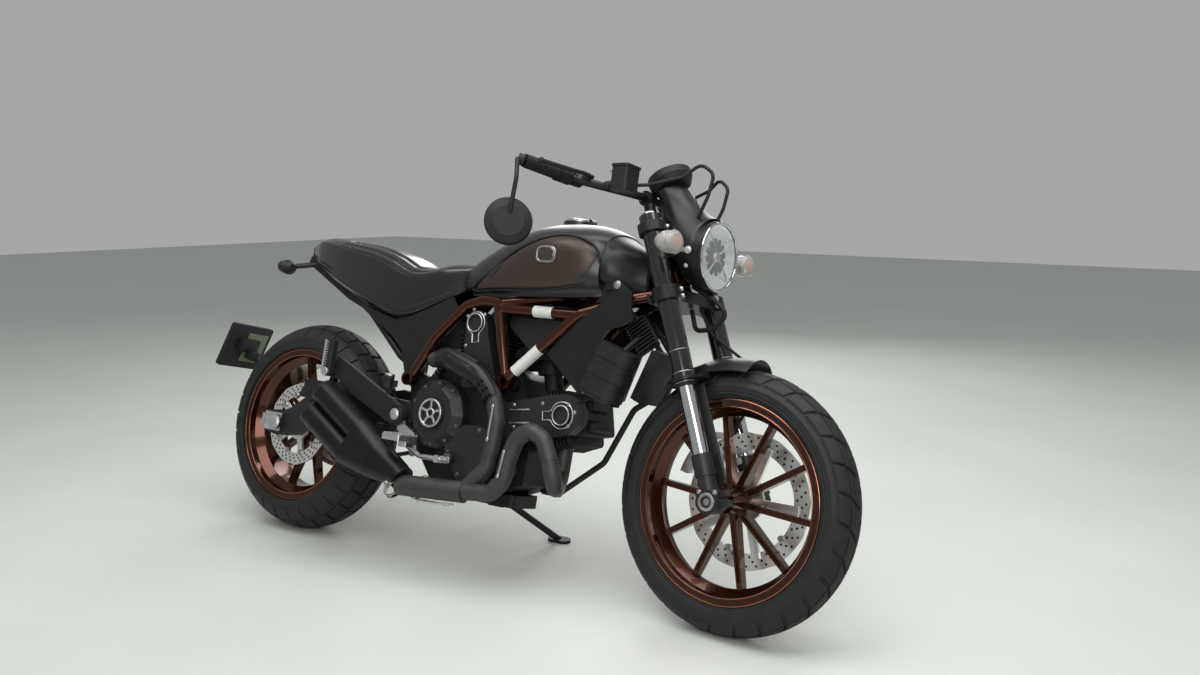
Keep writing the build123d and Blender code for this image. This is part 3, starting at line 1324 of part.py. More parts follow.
def make_side_stand(sole, tip):
    """Leg with a bored eye; its sole lies flat on the floor when the machine leans on it."""
    eye = stand_plane()
    with BuildPart() as stand:
        tube([STAND_PIVOT, tip], STAND_RADIUS)
        with BuildSketch(sole):
            SlotOverall(74, 42)
        extrude(amount=STAND_SOLE_THICKNESS)
        with BuildSketch(sole):
            Rectangle(120, 120)
        extrude(amount=-4 * STAND_RADIUS, mode=Mode.SUBTRACT)
        with BuildSketch(eye.offset(-STAND_EYE_HALF)):
            Circle(STAND_EYE_RADIUS)
        extrude(amount=2 * STAND_EYE_HALF)
        with BuildSketch(eye.offset(-STAND_EYE_HALF)):
            Circle(STAND_PIN_RADIUS + RUNNING_CLEARANCE)
        extrude(amount=2 * STAND_EYE_HALF, mode=Mode.SUBTRACT)
    return stand.part


# ---------------------------------------------------------------- parking
def unit(vector):
    length = sqrt(sum(value ** 2 for value in vector))
    return tuple(value / length for value in vector)


def turned_bars():
    """Rotation of everything steered about the steering axis."""
    frame = STEER_PLANE.location
    return frame * Location((0, 0, 0), (0, 0, STEER_REST)) * frame.inverse()


def stood(pitch, height):
    return Location((0, 0, height)) * Location((0, 0, 0), (0, pitch, 0)) * Location((0, 0, 0), (-LEAN, 0, 0))


def lowest(place, centre, corners):
    """Height of the lowest corner of a leaning tyre's crown."""
    middle = (place * Location(centre)).position
    side = (place * Location((centre[0], centre[1] + 1, centre[2]))).position
    tilt = side.Z - middle.Z
    return min(middle.Z - reach * sqrt(1 - tilt ** 2) + across * tilt for reach, across in corners)


def parked():
    """Place of the upright machine once it leans on its stand with both tyres on the floor."""
    rear_corners = crown_corners(REAR_TYRE_RADIUS, REAR_TYRE_HALF_WIDTH, REAR_CROWN_RADIUS)
    front_corners = crown_corners(FRONT_TYRE_RADIUS, FRONT_TYRE_HALF_WIDTH, FRONT_CROWN_RADIUS)
    pitch = 0.0
    height = 0.0
    for _ in range(12):
        place = stood(pitch, height)
        rear = lowest(place, (0, 0, REAR_TYRE_RADIUS), rear_corners)
        front = lowest(place * turned_bars(), (WHEELBASE, 0, FRONT_TYRE_RADIUS), front_corners)
        pitch += degrees((front - rear) / WHEELBASE)
        height -= rear
    return stood(pitch, height)


def stand_sole(place):
    """Plane of the stand's sole: the floor, seen from the upright machine, centred below the leg."""
    def height(reach):
        point = tuple(p + reach * d for p, d in zip(STAND_PIVOT, unit(STAND_DEPLOYED)))
        return (place * Location(point)).position.Z
    slope = height(1) - height(0)
    reach = (STAND_SOLE_THICKNESS / 2 - height(0)) / slope
    point = tuple(p + reach * d for p, d in zip(STAND_PIVOT, unit(STAND_DEPLOYED)))
    world = (place * Location(point)).position
    back = place.inverse()
    origin = (back * Location((world.X, world.Y, 0))).position
    above = (back * Location((world.X, world.Y, 1))).position
    ahead = (back * Location((world.X + 1, world.Y, 0))).position
    return Plane(origin=origin, x_dir=ahead - origin, z_dir=above - origin), point


# ---------------------------------------------------------------- assembly
STEERED = {
    "yokes": make_yokes,
    "fork_tubes": make_fork_tubes,
    "stanchions": make_stanchions,
    "fork_feet": make_fork_feet,
    "handlebar": make_handlebar,
    "grips": make_grips,
    "hand_controls": make_hand_controls,
    "mirrors": make_mirrors,
    "headlight": make_headlight,
    "headlight_lens": make_headlight_lens,
    "instrument": make_instrument,
    "front_signals": make_front_signals,
    "front_fender": make_front_fender,
    "front_caliper": make_front_caliper,
    "brake_hoses": make_brake_hoses,
}
FIXED = {
    "frame": make_frame,
    "subframe": make_subframe,
    "crankcase": make_crankcase,
    "cylinders": make_cylinders,
    "engine_covers": make_engine_covers,
    "belt_covers": make_belt_covers,
    "intake": make_intake,
    "exhaust": make_exhaust,
    "silencer": make_silencer,
    "oil_cooler": make_oil_cooler,
    "canister": make_canister,
    "fuel_tank": make_tank,
    "fuel_cap": make_fuel_cap,
    "tank_panels": make_tank_panels,
    "front_panels": make_front_panels,
    "seat": make_seat,
    "side_covers": make_side_covers,
    "tail": make_tail,
    "swingarm": make_swingarm,
    "shock": make_shock,
    "plate_hanger": make_plate_hanger,
    "rear_caliper": make_rear_caliper,
    "chain": make_chain,
    "foot_controls": make_foot_controls,
    "passenger_hangers": make_passenger_hangers,
}


def front_wheel():
    place = Location((WHEELBASE, 0, FRONT_TYRE_RADIUS))
    rim = make_rim(FRONT_BEAD_RADIUS, FRONT_RIM_HALF_WIDTH, FRONT_HUB_HALF, FRONT_BEAD_RADIUS - 18, 4.7)
    tyre = make_tyre(FRONT_TYRE_RADIUS, FRONT_TYRE_HALF_WIDTH, FRONT_CROWN_RADIUS, FRONT_BEAD_RADIUS,
                     FRONT_RIM_HALF_WIDTH)
    disc = make_disc(FRONT_DISC_RADIUS, FRONT_DISC_BAND, FRONT_DISC_Y, -1, 5, FRONT_HUB_HALF)
    return {"front_rim": rim.moved(place), "front_tyre": tyre.moved(place), "front_disc": disc.moved(place)}


def rear_wheel():
    place = Location((0, 0, REAR_TYRE_RADIUS))
    rim = make_rim(REAR_BEAD_RADIUS, REAR_RIM_HALF_WIDTH, REAR_HUB_HALF, REAR_BEAD_RADIUS - 20, 0)
    tyre = make_tyre(REAR_TYRE_RADIUS, REAR_TYRE_HALF_WIDTH, REAR_CROWN_RADIUS, REAR_BEAD_RADIUS,
                     REAR_RIM_HALF_WIDTH)
    disc = make_disc(REAR_DISC_RADIUS, REAR_DISC_BAND, -REAR_DISC_Y, 1, 5, REAR_HUB_HALF)
    return {"rear_rim": rim.moved(place), "rear_tyre": tyre.moved(place), "rear_disc": disc.moved(place),
            "rear_sprocket": make_sprocket().moved(place)}


def build():
    """Every piece in its parked place, the origin at the middle of the footprint."""
    place = parked()
    turned = place * turned_bars()
    upright = {name: make() for name, make in FIXED.items()}
    upright["side_stand"] = make_side_stand(*stand_sole(place))
    upright.update(rear_wheel())
    steered = {name: make() for name, make in STEERED.items()}
    steered.update(front_wheel())
    make_room(upright)
    make_room(steered)
    pieces = {name: part.moved(place) for name, part in upright.items()}
    pieces.update({name: part.moved(turned) for name, part in steered.items()})
    return pieces


def footprint(pieces):
    """Middle of the bounding box in plan, which becomes the origin."""
    boxes = [part.bounding_box() for part in pieces.values()]
    low_x = min(box.min.X for box in boxes)
    high_x = max(box.max.X for box in boxes)
    low_y = min(box.min.Y for box in boxes)
    high_y = max(box.max.Y for box in boxes)
    return ((low_x + high_x) / 2, (low_y + high_y) / 2)


# Pieces that are shaped to clear a neighbour: each is cut back round the ones named after it.
ROOM = {
    "engine_covers": ("crankcase", "swingarm"),
    "cylinders": ("crankcase",),
    "belt_covers": ("crankcase", "cylinders", "frame"),
    "intake": ("cylinders", "frame"),
    "exhaust": ("cylinders", "engine_covers", "silencer"),
    "oil_cooler": ("crankcase", "frame"),
    "subframe": ("frame", "crankcase"),
    "fuel_tank": ("frame", "tank_panels"),
    "front_panels": ("frame", "tank_panels"),
    "canister": ("front_panels", "frame"),
    "tail": ("subframe",),
    "side_covers": ("frame", "subframe", "tail"),
    "shock": ("swingarm", "subframe", "side_covers"),
    "seat": ("fuel_tank", "frame", "subframe", "tail", "side_covers", "shock"),
    "plate_hanger": ("swingarm",),
    "passenger_hangers": ("silencer", "swingarm"),
    "foot_controls": ("passenger_hangers", "swingarm"),
    "front_caliper": ("fork_feet", "stanchions"),
    "hand_controls": ("handlebar", "grips"),
    "mirrors": ("handlebar", "grips"),
    "front_signals": ("headlight",),
    "instrument": ("headlight", "handlebar"),
    "brake_hoses": ("hand_controls", "yokes", "fork_tubes", "headlight", "front_signals", "front_caliper"),
}
KEPT_SHARE = 0.05


def make_room(pieces):
    """Cut each piece back from its neighbours and drop the crumbs that a cut leaves."""
    for name, neighbours in ROOM.items():
        if name not in pieces:
            continue
        for neighbour in neighbours:
            pieces[name] = pieces[name] - pieces[neighbour]
        solids = pieces[name].solids()
        largest = max(solid.volume for solid in solids)
        kept = [solid for solid in solids if solid.volume > KEPT_SHARE * largest]
        if len(kept) < len(solids):
            pieces[name] = Part(children=kept) if len(kept) > 1 else Part(kept[0].wrapped)


def main():
    os.makedirs("parts", exist_ok=True)
    pieces = build()
    middle = footprint(pieces)
    shift = Location((-middle[0], -middle[1], 0))
    for name, part in pieces.items():
        placed = part.moved(shift)
        placed.label = name
        export_step(placed, f"parts/{name}.step")


if __name__ == "__main__":
    main()
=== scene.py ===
import json
from math import acos, atan2, copysign, cos, pi, radians, sin, sqrt

import bmesh
import bpy
from mathutils import Matrix, Vector


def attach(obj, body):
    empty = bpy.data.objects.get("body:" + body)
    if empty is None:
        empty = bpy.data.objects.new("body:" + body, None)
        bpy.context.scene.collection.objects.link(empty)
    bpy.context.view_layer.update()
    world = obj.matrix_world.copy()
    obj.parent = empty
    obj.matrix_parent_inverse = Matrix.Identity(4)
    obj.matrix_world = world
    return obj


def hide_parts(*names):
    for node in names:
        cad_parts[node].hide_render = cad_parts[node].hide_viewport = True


# Looks of the scrambler motorcycle. Every piece is drawn on the upright machine in millimetres: +X forward,
# +Y to the rider's left, +Z up, the origin on the floor below the rear axle. Then it is leant with its body.
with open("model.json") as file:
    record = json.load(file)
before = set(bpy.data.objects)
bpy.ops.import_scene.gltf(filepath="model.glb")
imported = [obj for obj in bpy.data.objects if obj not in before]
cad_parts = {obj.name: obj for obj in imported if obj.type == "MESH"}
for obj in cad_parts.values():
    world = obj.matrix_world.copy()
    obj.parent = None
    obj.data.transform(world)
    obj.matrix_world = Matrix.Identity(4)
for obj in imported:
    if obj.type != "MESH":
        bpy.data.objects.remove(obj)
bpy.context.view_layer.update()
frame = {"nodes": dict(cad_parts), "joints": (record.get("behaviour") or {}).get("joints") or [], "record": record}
nodes = frame["nodes"]

MM = 0.001
RAKE = radians(22.5)
REAR_RADIUS = 315
FRONT_RADIUS = 316.6
WHEELBASE = 1445
AHEAD = Vector((1, 0, 0))
ACROSS = Vector((0, 1, 0))
RIGHT = -ACROSS


# ---------------------------------------------------------------- places
def parked_place(wheel, hub):
    """Matrix from the upright machine to the parked one, from a wheel's joint and its hub's upright place."""
    joints = {joint["name"]: joint for joint in frame["joints"]}
    across = Vector(joints[wheel]["axis"])
    steering = Vector(joints["steering_turn"]["axis"])
    square = across.cross(steering)
    ahead = cos(RAKE) * square - sin(RAKE) * steering
    up = sin(RAKE) * square + cos(RAKE) * steering
    place = Matrix((ahead, across, up)).transposed().to_4x4()
    place.translation = Vector(joints[wheel]["pos_m"]) - place.to_3x3() @ (Vector(hub) * MM)
    return place


STRAIGHT = parked_place("rear_wheel_spin", (0, 0, REAR_RADIUS))
TURNED = parked_place("front_wheel_spin", (WHEELBASE, 0, FRONT_RADIUS))
PLACES = {"chassis": STRAIGHT, "rear_wheel": STRAIGHT, "steering": TURNED, "front_wheel": TURNED}
BODY_OF = {node: body for body, members in frame["record"]["behaviour"]["bodies"].items() for node in members}


# ---------------------------------------------------------------- camera, light and floor
CAMERA_PLACE = (1.8546, -2.4075, 1.049)
CAMERA_YAW = radians(123.12)
CAMERA_PITCH = radians(8.02)
CAMERA_ROLL = radians(0.46)
SENSOR_WIDTH = 36
FOCAL_LENGTH = 31.98
SIGHT = 60

# name, place, point it faces, size, power
LIGHTS = (("ceiling", (0.6, -0.6, 3.2), (0, 0, 0.5), (4.0, 2.4), 120),
          ("side", (2.6, -3.4, 2.2), (0.1, 0, 0.6), (2.0, 2.0), 60),
          ("left_side", (-1.5, 3.6, 2.4), (0, 0, 0.6), (2.5, 2.0), 60))
LIT_COLOR = (0.62, 0.64, 0.64, 1)
LIT_STRENGTH = 0.55
BACKDROP_COLOR = (0.38, 0.385, 0.38, 1)
FLOOR_COLOR = (0.58, 0.60, 0.56)
FLOOR_REACH = 14


def add_camera():
    level = Vector((sin(CAMERA_YAW), -cos(CAMERA_YAW), 0))
    ahead = Vector((cos(CAMERA_YAW) * cos(CAMERA_PITCH), sin(CAMERA_YAW) * cos(CAMERA_PITCH),
                    -sin(CAMERA_PITCH)))
    above = level.cross(ahead)
    right = level * cos(CAMERA_ROLL) + above * sin(CAMERA_ROLL)
    up = above * cos(CAMERA_ROLL) - level * sin(CAMERA_ROLL)
    camera = bpy.data.objects.new("camera", bpy.data.cameras.new("camera"))
    camera.data.sensor_width = SENSOR_WIDTH
    camera.data.lens = FOCAL_LENGTH
    camera.data.clip_end = SIGHT
    camera.matrix_world = Matrix((right, up, -ahead)).transposed().to_4x4()
    camera.location = CAMERA_PLACE
    bpy.context.scene.collection.objects.link(camera)
    bpy.context.scene.camera = camera


def add_light(name, place, aim, size, power):
    light = bpy.data.lights.new(name, "AREA")
    light.shape = "RECTANGLE"
    light.size, light.size_y = size
    light.energy = power
    holder = bpy.data.objects.new(name, light)
    holder.location = place
    holder.rotation_euler = (Vector(aim) - Vector(place)).to_track_quat("-Z", "Y").to_euler()
    bpy.context.scene.collection.objects.link(holder)


def new_node(tree, kind, **sockets):
    """A shader node with numbers or colours on its own sockets."""
    node = tree.nodes.new("ShaderNode" + kind)
    for key, value in sockets.items():
        node.inputs[key.replace("_", " ")].default_value = value
    return node


def link(tree, source, output, target, socket):
    tree.links.new(source.outputs[output], target.inputs[socket])


def add_world():
    """Even light from all round, and a plain pale backdrop for the camera, for glass and for gloss."""
    world = bpy.data.worlds.new("world")
    bpy.context.scene.world = world
    world.use_nodes = True
    tree = world.node_tree
    lit = tree.nodes["Background"]
    lit.inputs["Color"].default_value = LIT_COLOR
    lit.inputs["Strength"].default_value = LIT_STRENGTH
    backdrop = new_node(tree, "Background", Color=BACKDROP_COLOR)
    path = new_node(tree, "LightPath")
    direct = new_node(tree, "Math")
    seen = new_node(tree, "Math")
    for node, ray in ((direct, "Is Transmission Ray"), (seen, "Is Glossy Ray")):
        node.operation = "MAXIMUM"
        link(tree, path, ray, node, 1)
    link(tree, path, "Is Camera Ray", direct, 0)
    link(tree, direct, "Value", seen, 0)
    mix = new_node(tree, "MixShader")
    link(tree, seen, "Value", mix, "Fac")
    link(tree, lit, "Background", mix, 1)
    link(tree, backdrop, "Background", mix, 2)
    link(tree, mix, "Shader", tree.nodes["World Output"], "Surface")


def add_floor():
    mesh = bpy.data.meshes.new("floor")
    reach = FLOOR_REACH
    mesh.from_pydata([(-reach, -reach, 0), (reach, -reach, 0), (reach, reach, 0), (-reach, reach, 0)], [],
                     [(0, 1, 2, 3)])
    floor = bpy.data.objects.new("floor", mesh)
    bpy.context.scene.collection.objects.link(floor)
    floor.data.materials.append(finish("floor", FLOOR_COLOR, 0.60, 0.0, (0.03, 1.5), (60, 0.02)))


# ---------------------------------------------------------------- materials
def finish(name, color, roughness, metallic, mottle, grain=None, edge=0.0, sockets={}, spread=0.08):
    """A surface: mottle (share, scale) varies its colour and roughness, grain (scale, strength) is a fine
    bump, and edge is the radius in metres of its softened edges."""
    material = bpy.data.materials.new(name)
    material.use_nodes = True
    tree = material.node_tree
    shader = tree.nodes["Principled BSDF"]
    shader.inputs["Metallic"].default_value = metallic
    for key, value in sockets.items():
        shader.inputs[key].default_value = value
    place = new_node(tree, "TexCoord")
    noise = new_node(tree, "TexNoise", Scale=mottle[1], Detail=6)
    link(tree, place, "Object", noise, "Vector")
    ramp = new_node(tree, "ValToRGB")
    for index, position, shade in ((0, 0.3, 1 - mottle[0]), (1, 0.7, 1 + mottle[0])):
        ramp.color_ramp.elements[index].position = position
        ramp.color_ramp.elements[index].color = [min(1, value * shade) for value in color] + [1]
    link(tree, noise, "Fac", ramp, "Fac")
    link(tree, ramp, "Color", shader, "Base Color")
    low, high = max(0.02, roughness - spread), min(1, roughness + spread)
    sheen = new_node(tree, "MapRange", To_Min=low, To_Max=high)
    link(tree, noise, "Fac", sheen, "Value")
    link(tree, sheen, "Result", shader, "Roughness")
    normal = surface_normal(tree, place, grain, edge)
    if normal:
        link(tree, normal, "Normal", shader, "Normal")
    return material


def surface_normal(tree, place, grain, edge):
    """The node that gives a finish its softened edges and its grain, if it has either."""
    normal = None
    if edge:
        normal = new_node(tree, "Bevel", Radius=edge)
        normal.samples = 4
    if grain:
        fine = new_node(tree, "TexNoise", Scale=grain[0], Detail=4)
        link(tree, place, "Object", fine, "Vector")
        bump = new_node(tree, "Bump", Strength=grain[1], Distance=0.001)
        link(tree, fine, "Fac", bump, "Height")
        if normal:
            link(tree, normal, "Normal", bump, "Normal")
        normal = bump
    return normal


DULL = {"Specular IOR Level": 0.32}


def coat(weight, roughness):
    return {"Coat Weight": weight, "Coat Roughness": roughness}


# colour, roughness, metallic, mottle, grain, edge, other sockets, spread of the roughness
LOOKS = {
    "copper_paint": ((0.064, 0.019, 0.009), 0.15, 0.85, (0.05, 500), (900, 0.03), 0.0012, coat(0.35, 0.03)),
    "satin_black": ((0.0085, 0.0085, 0.0095), 0.36, 0.0, (0.15, 30), (700, 0.06), 0.0012, DULL),
    "matt_black": ((0.011, 0.011, 0.012), 0.55, 0.0, (0.15, 40), (600, 0.12), 0.0012, DULL),
    "gloss_black": ((0.006, 0.006, 0.0065), 0.14, 0.0, (0.1, 20), None, 0.0012, coat(0.6, 0.04)),
    "tank_grey": ((0.020, 0.020, 0.022), 0.34, 0.45, (0.06, 200), (1200, 0.03), 0.0012, coat(0.35, 0.3)),
    "tank_brown": ((0.040, 0.024, 0.018), 0.42, 0.30, (0.07, 200), (1200, 0.03), 0.0012, coat(0.25, 0.35)),
    "engine_grey": ((0.016, 0.016, 0.018), 0.42, 0.25, (0.15, 60), (500, 0.18), 0.0015),
    "engine_black": ((0.010, 0.010, 0.011), 0.48, 0.15, (0.2, 60), (450, 0.22), 0.0012, DULL),
    "header_grey": ((0.046, 0.042, 0.042), 0.50, 0.35, (0.25, 25), (350, 0.15), 0.001),
    "silencer_black": ((0.008, 0.008, 0.009), 0.34, 0.3, (0.15, 30), (500, 0.05), 0.0015, DULL),
    "bare_alloy": ((0.62, 0.62, 0.62), 0.32, 1.0, (0.08, 60), (800, 0.08), 0.001),
    "steel": ((0.42, 0.41, 0.40), 0.34, 1.0, (0.15, 80), (700, 0.08), 0.0008),
    "disc_steel": ((0.78, 0.77, 0.76), 0.34, 1.0, (0.08, 50), None, 0.0006),
    "chrome": ((0.62, 0.62, 0.64), 0.08, 1.0, (0.03, 20), None, 0.0, {}, 0.03),
    "leather": ((0.006, 0.006, 0.007), 0.20, 0.0, (0.2, 50), (180, 0.30), 0.0, coat(0.35, 0.14)),
    "rubber": ((0.009, 0.009, 0.009), 0.62, 0.0, (0.2, 60), (400, 0.2), 0.001, DULL),
    "tyre": ((0.013, 0.013, 0.014), 0.60, 0.0, (0.25, 35), (350, 0.25), 0.0008, DULL),
    "glass": ((0.80, 0.83, 0.84), 0.04, 0.0, (0.02, 10), None, 0.0, {"Alpha": 0.11, "IOR": 1.45}, 0.01),
    "clear_lens": ((0.80, 0.78, 0.75), 0.10, 0.0, (0.03, 20), None, 0.0, {"Transmission Weight": 0.7}),
    "copper_lip": ((0.42, 0.17, 0.10), 0.16, 1.0, (0.05, 400), (900, 0.03), 0.0006),
    "reflector": ((0.93, 0.93, 0.94), 0.24, 1.0, (0.03, 20), None, 0.0, {}, 0.03),
    "thread": ((0.05, 0.05, 0.052), 0.6, 0.0, (0.2, 300), (2000, 0.1)),
    "badge": ((0.085, 0.075, 0.070), 0.40, 0.8, (0.10, 120), (900, 0.06), 0.0006),
    "amber": ((0.85, 0.28, 0.04), 0.25, 0.0, (0.08, 60), None, 0.0, coat(0.5, 0.03)),
    "pale_sleeve": ((0.62, 0.62, 0.60), 0.45, 0.0, (0.06, 80), (600, 0.05)),
    # near-black and barely glossy: painted shade for the holes of the header shield
    "hole_painted_shade": ((0.0025, 0.0025, 0.0025), 0.8, 0.0, (0.3, 60), (300, 0.2), 0.0,
                      {"Specular IOR Level": 0.1}),
    "screen": ((0.16, 0.18, 0.16), 0.25, 0.0, (0.06, 60)),
    "steel_dark": ((0.13, 0.13, 0.13), 0.36, 0.9, (0.15, 80), (700, 0.08), 0.0008),
    "olive_plate": ((0.13, 0.17, 0.10), 0.45, 0.0, (0.05, 20), None, 0.0008),
}
MATERIALS = {name: finish(name, *look) for name, look in LOOKS.items()}

NODE_FINISH = {
    "copper_paint": ("frame", "front_rim", "rear_rim"),
    "satin_black": ("headlight", "subframe", "side_covers", "front_fender", "yokes", "handlebar",
                    "front_panels"),
    "matt_black": ("mirrors", "tail", "plate_hanger", "oil_cooler", "canister", "hand_controls", "instrument",
                   "intake", "shock", "rear_caliper", "passenger_hangers"),
    "gloss_black": ("fork_tubes",),
    "tank_grey": ("fuel_tank",),
    "tank_brown": ("tank_panels",),
    "engine_grey": ("engine_covers", "belt_covers", "fork_feet", "swingarm"),
    "engine_black": ("crankcase", "cylinders", "side_stand"),
    "header_grey": ("exhaust",),
    "silencer_black": ("silencer",),
    "bare_alloy": ("fuel_cap", "foot_controls", "front_caliper"),
    "steel": ("chain", "rear_sprocket"),
    "disc_steel": ("front_disc", "rear_disc"),
    "chrome": ("stanchions",),
    "leather": ("seat",),
    "rubber": ("grips", "brake_hoses"),
    "tyre": ("front_tyre", "rear_tyre"),
    "glass": ("headlight_lens",),
    "clear_lens": ("front_signals",),
}


def dress_nodes():
    for look, members in NODE_FINISH.items():
        for member in members:
            nodes[member].data.materials.clear()
            nodes[member].data.materials.append(MATERIALS[look])


# ---------------------------------------------------------------- drawing meshes, in millimetres
def turns(steps, start=0.0):
    """Angles spaced evenly round a circle."""
    return [start + 2 * pi * step / steps for step in range(steps)]


def along(start, end, share):
    return Vector(start) + (Vector(end) - Vector(start)) * share


class Shape:
    """Points and faces gathered for one piece; what adds to a shape gives the shape back."""

    def __init__(self):
        self.points = []
        self.faces = []

    def add(self, points, faces):
        start = len(self.points)
        self.points += [Vector(point) for point in points]
        self.faces += [[start + index for index in face] for face in faces]
        return self

    def grid(self, rows, around=False, closed=False, capped=True):
        """Skin between rows of points; around joins a row's ends, closed joins the last row to the first."""
        width = len(rows[0])
        faces = []
        for i in range(len(rows) if closed else len(rows) - 1):
            k = (i + 1) % len(rows)
            for j in range(width if around else width - 1):
                n = (j + 1) % width
                faces.append((i * width + j, i * width + n, k * width + n, k * width + j))
        if around and capped and not closed:
            faces.append(tuple(range(width)))
            faces.append(tuple(range((len(rows) - 1) * width, len(rows) * width)))
        return self.add([point for row in rows for point in row], faces)

    def lathe(self, centre, axis, profile, steps=32, closed=False):
        """A profile of (distance along the axis, radius) turned about the axis."""
        axis = Vector(axis).normalized()
        side = axis.orthogonal().normalized()
        other = axis.cross(side)
        rows = []
        for reach, radius in profile:
            middle = Vector(centre) + axis * reach
            rows.append([middle + (side * cos(turn) + other * sin(turn)) * radius for turn in turns(steps)])
        return self.grid(rows, around=True, closed=closed)

    def pipe(self, points, radius, sides=12):
        """A round bar along points."""
        points = [Vector(point) for point in points]
        side = (points[1] - points[0]).normalized().orthogonal().normalized()
        rows = []
        for index, point in enumerate(points):
            ahead = points[min(index + 1, len(points) - 1)] - points[max(index - 1, 0)]
            ahead.normalize()
            side = (side - ahead * side.dot(ahead)).normalized()
            other = ahead.cross(side)
            rows.append([point + (side * cos(turn) + other * sin(turn)) * radius for turn in turns(sides)])
        return self.grid(rows, around=True)

    def ring(self, centre, axis, radius, wire, steps=36, sides=8):
        profile = [(wire * sin(turn), radius + wire * cos(turn)) for turn in turns(sides)]
        return self.lathe(centre, axis, profile, steps, closed=True)

    def prism(self, outline, y_from, y_to):
        """A side-view outline of (x, z) carried across the machine."""
        return self.grid([[(x, y, z) for x, z in outline] for y in (y_from, y_to)], around=True)

    def slab(self, centre, size, ahead=(1, 0, 0), up=(0, 0, 1)):
        """A block of a size along its own ahead, across and up directions."""
        ahead = Vector(ahead).normalized()
        across = Vector(up).normalized().cross(ahead).normalized()
        up = ahead.cross(across)
        corners = ((-0.5, -0.5), (0.5, -0.5), (0.5, 0.5), (-0.5, 0.5))
        rows = []
        for a in (-0.5, 0.5):
            end = Vector(centre) + ahead * a * size[0]
            rows.append([end + across * b * size[1] + up * c * size[2] for b, c in corners])
        return self.grid(rows, around=True)

    def bolt(self, centre, axis, radius, height=None):
        """A washer under a socket head with a hexagonal hole."""
        height = height or radius * 0.9
        washer = height * 0.25
        socket = Vector(centre) + Vector(axis).normalized() * height * 0.4
        self.lathe(centre, axis, [(0, radius * 1.5), (washer, radius * 1.5), (washer, radius * 1.02)], 20)
        self.lathe(centre, axis, [(0, radius), (height * 0.85, radius), (height, radius * 0.85),
                                  (height, radius * 0.5)], 20)
        self.lathe(socket, axis, [(0, radius * 0.5), (height * 0.61, radius * 0.5)], 6)

    def nut(self, centre, axis, radius, height):
        """A washer under a hexagonal nut with chamfered corners."""
        washer = height * 0.2
        self.lathe(centre, axis, [(0, radius * 1.25), (washer, radius * 1.25), (washer, radius)], 28)
        self.lathe(centre, axis, [(0, radius), (height * 0.9, radius), (height, radius * 0.9),
                                  (height, radius * 0.55)], 6)


BEVEL_FROM = radians(30)


def piece(name, shape, look, slot, bevel=0.0, crease=35):
    """Make the object of a shape, dressed, and riding on the body of the node that slot names."""
    body = BODY_OF[slot]
    place = PLACES[body]
    mesh = bpy.data.meshes.new(name)
    mesh.from_pydata([place @ (point * MM) for point in shape.points], [], shape.faces)
    work = bmesh.new()
    work.from_mesh(mesh)
    bmesh.ops.recalc_face_normals(work, faces=work.faces)
    if bevel:
        edges = [edge for edge in work.edges if edge.is_manifold and edge.calc_face_angle(0) > BEVEL_FROM]
        bmesh.ops.bevel(work, geom=edges, offset=bevel * MM, segments=2, profile=0.7, affect="EDGES",
                        clamp_overlap=True)
    work.to_mesh(mesh)
    work.free()
    for polygon in mesh.polygons:
        polygon.use_smooth = True
    mesh.set_sharp_from_angle(angle=radians(crease))
    mesh.materials.append(MATERIALS[look])
    made = bpy.data.objects.new(name, mesh)
    bpy.context.scene.collection.objects.link(made)
    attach(made, body)
    return made


def curved(points, steps=8, closed=False):
    """A smooth line through points."""
    points = [Vector(point) for point in points]
    count = len(points)
    line = []
    for i in range(count if closed else count - 1):
        near = [i + k if closed else min(max(i + k, 0), count - 1) for k in (-1, 0, 1, 2)]
        a, b, c, d = (points[k % count] for k in near)
        for step in range(steps):
            t = step / steps
            line.append(0.5 * (2 * b + (c - a) * t + (2 * a - 5 * b + 4 * c - d) * t ** 2
                               + (3 * b - a - 3 * c + d) * t ** 3))
    if not closed:
        line.append(points[-1])
    return line


def between(table, x):
    """The values of a table of (x, value, value...) at an x, carried smoothly from row to row."""
    x = min(max(x, table[0][0]), table[-1][0])
    i = 0
    while i < len(table) - 2 and x > table[i + 1][0]:
        i += 1
    low, high = table[i], table[i + 1]
    before, after = table[max(i - 1, 0)], table[min(i + 2, len(table) - 1)]
    span = high[0] - low[0]
    t = (x - low[0]) / span
    values = []
    for k in range(1, len(low)):
        start = (high[k] - before[k]) / (high[0] - before[0]) * span
        end = (after[k] - low[k]) / (after[0] - low[0]) * span
        values.append(low[k] * (2 * t ** 3 - 3 * t ** 2 + 1) + start * (t ** 3 - 2 * t ** 2 + t)
                      + high[k] * (3 * t ** 2 - 2 * t ** 3) + end * (t ** 3 - t ** 2))
    return values


def half_section(half, top, bottom, shoulder, waist, steps):
    """Points (y, z) from the top middle of a body section down its side."""
    mid = bottom + (top - bottom) * shoulder
    crown = top - (top - mid) * 0.16
    corners = [(-half * 0.55, crown, 0), (0, top, 0), (half * 0.55, crown, 0),
               (half * 0.90, mid + (top - mid) * 0.42, 0), (half, mid, 0),
               (half * waist, bottom + (mid - bottom) * 0.25, 0), (half * waist * 0.86, bottom, 0)]
    return [(point.x, point.y) for point in curved(corners, steps)[steps:]]


# ---------------------------------------------------------------- tyres
TREAD_DEPTH = 6.5
# depth below the crown and spread of a tread block's foot, shoulder and top
BLOCK_LAYERS = ((TREAD_DEPTH, 1.06), (1.2, 1.0), (0.0, 0.93))
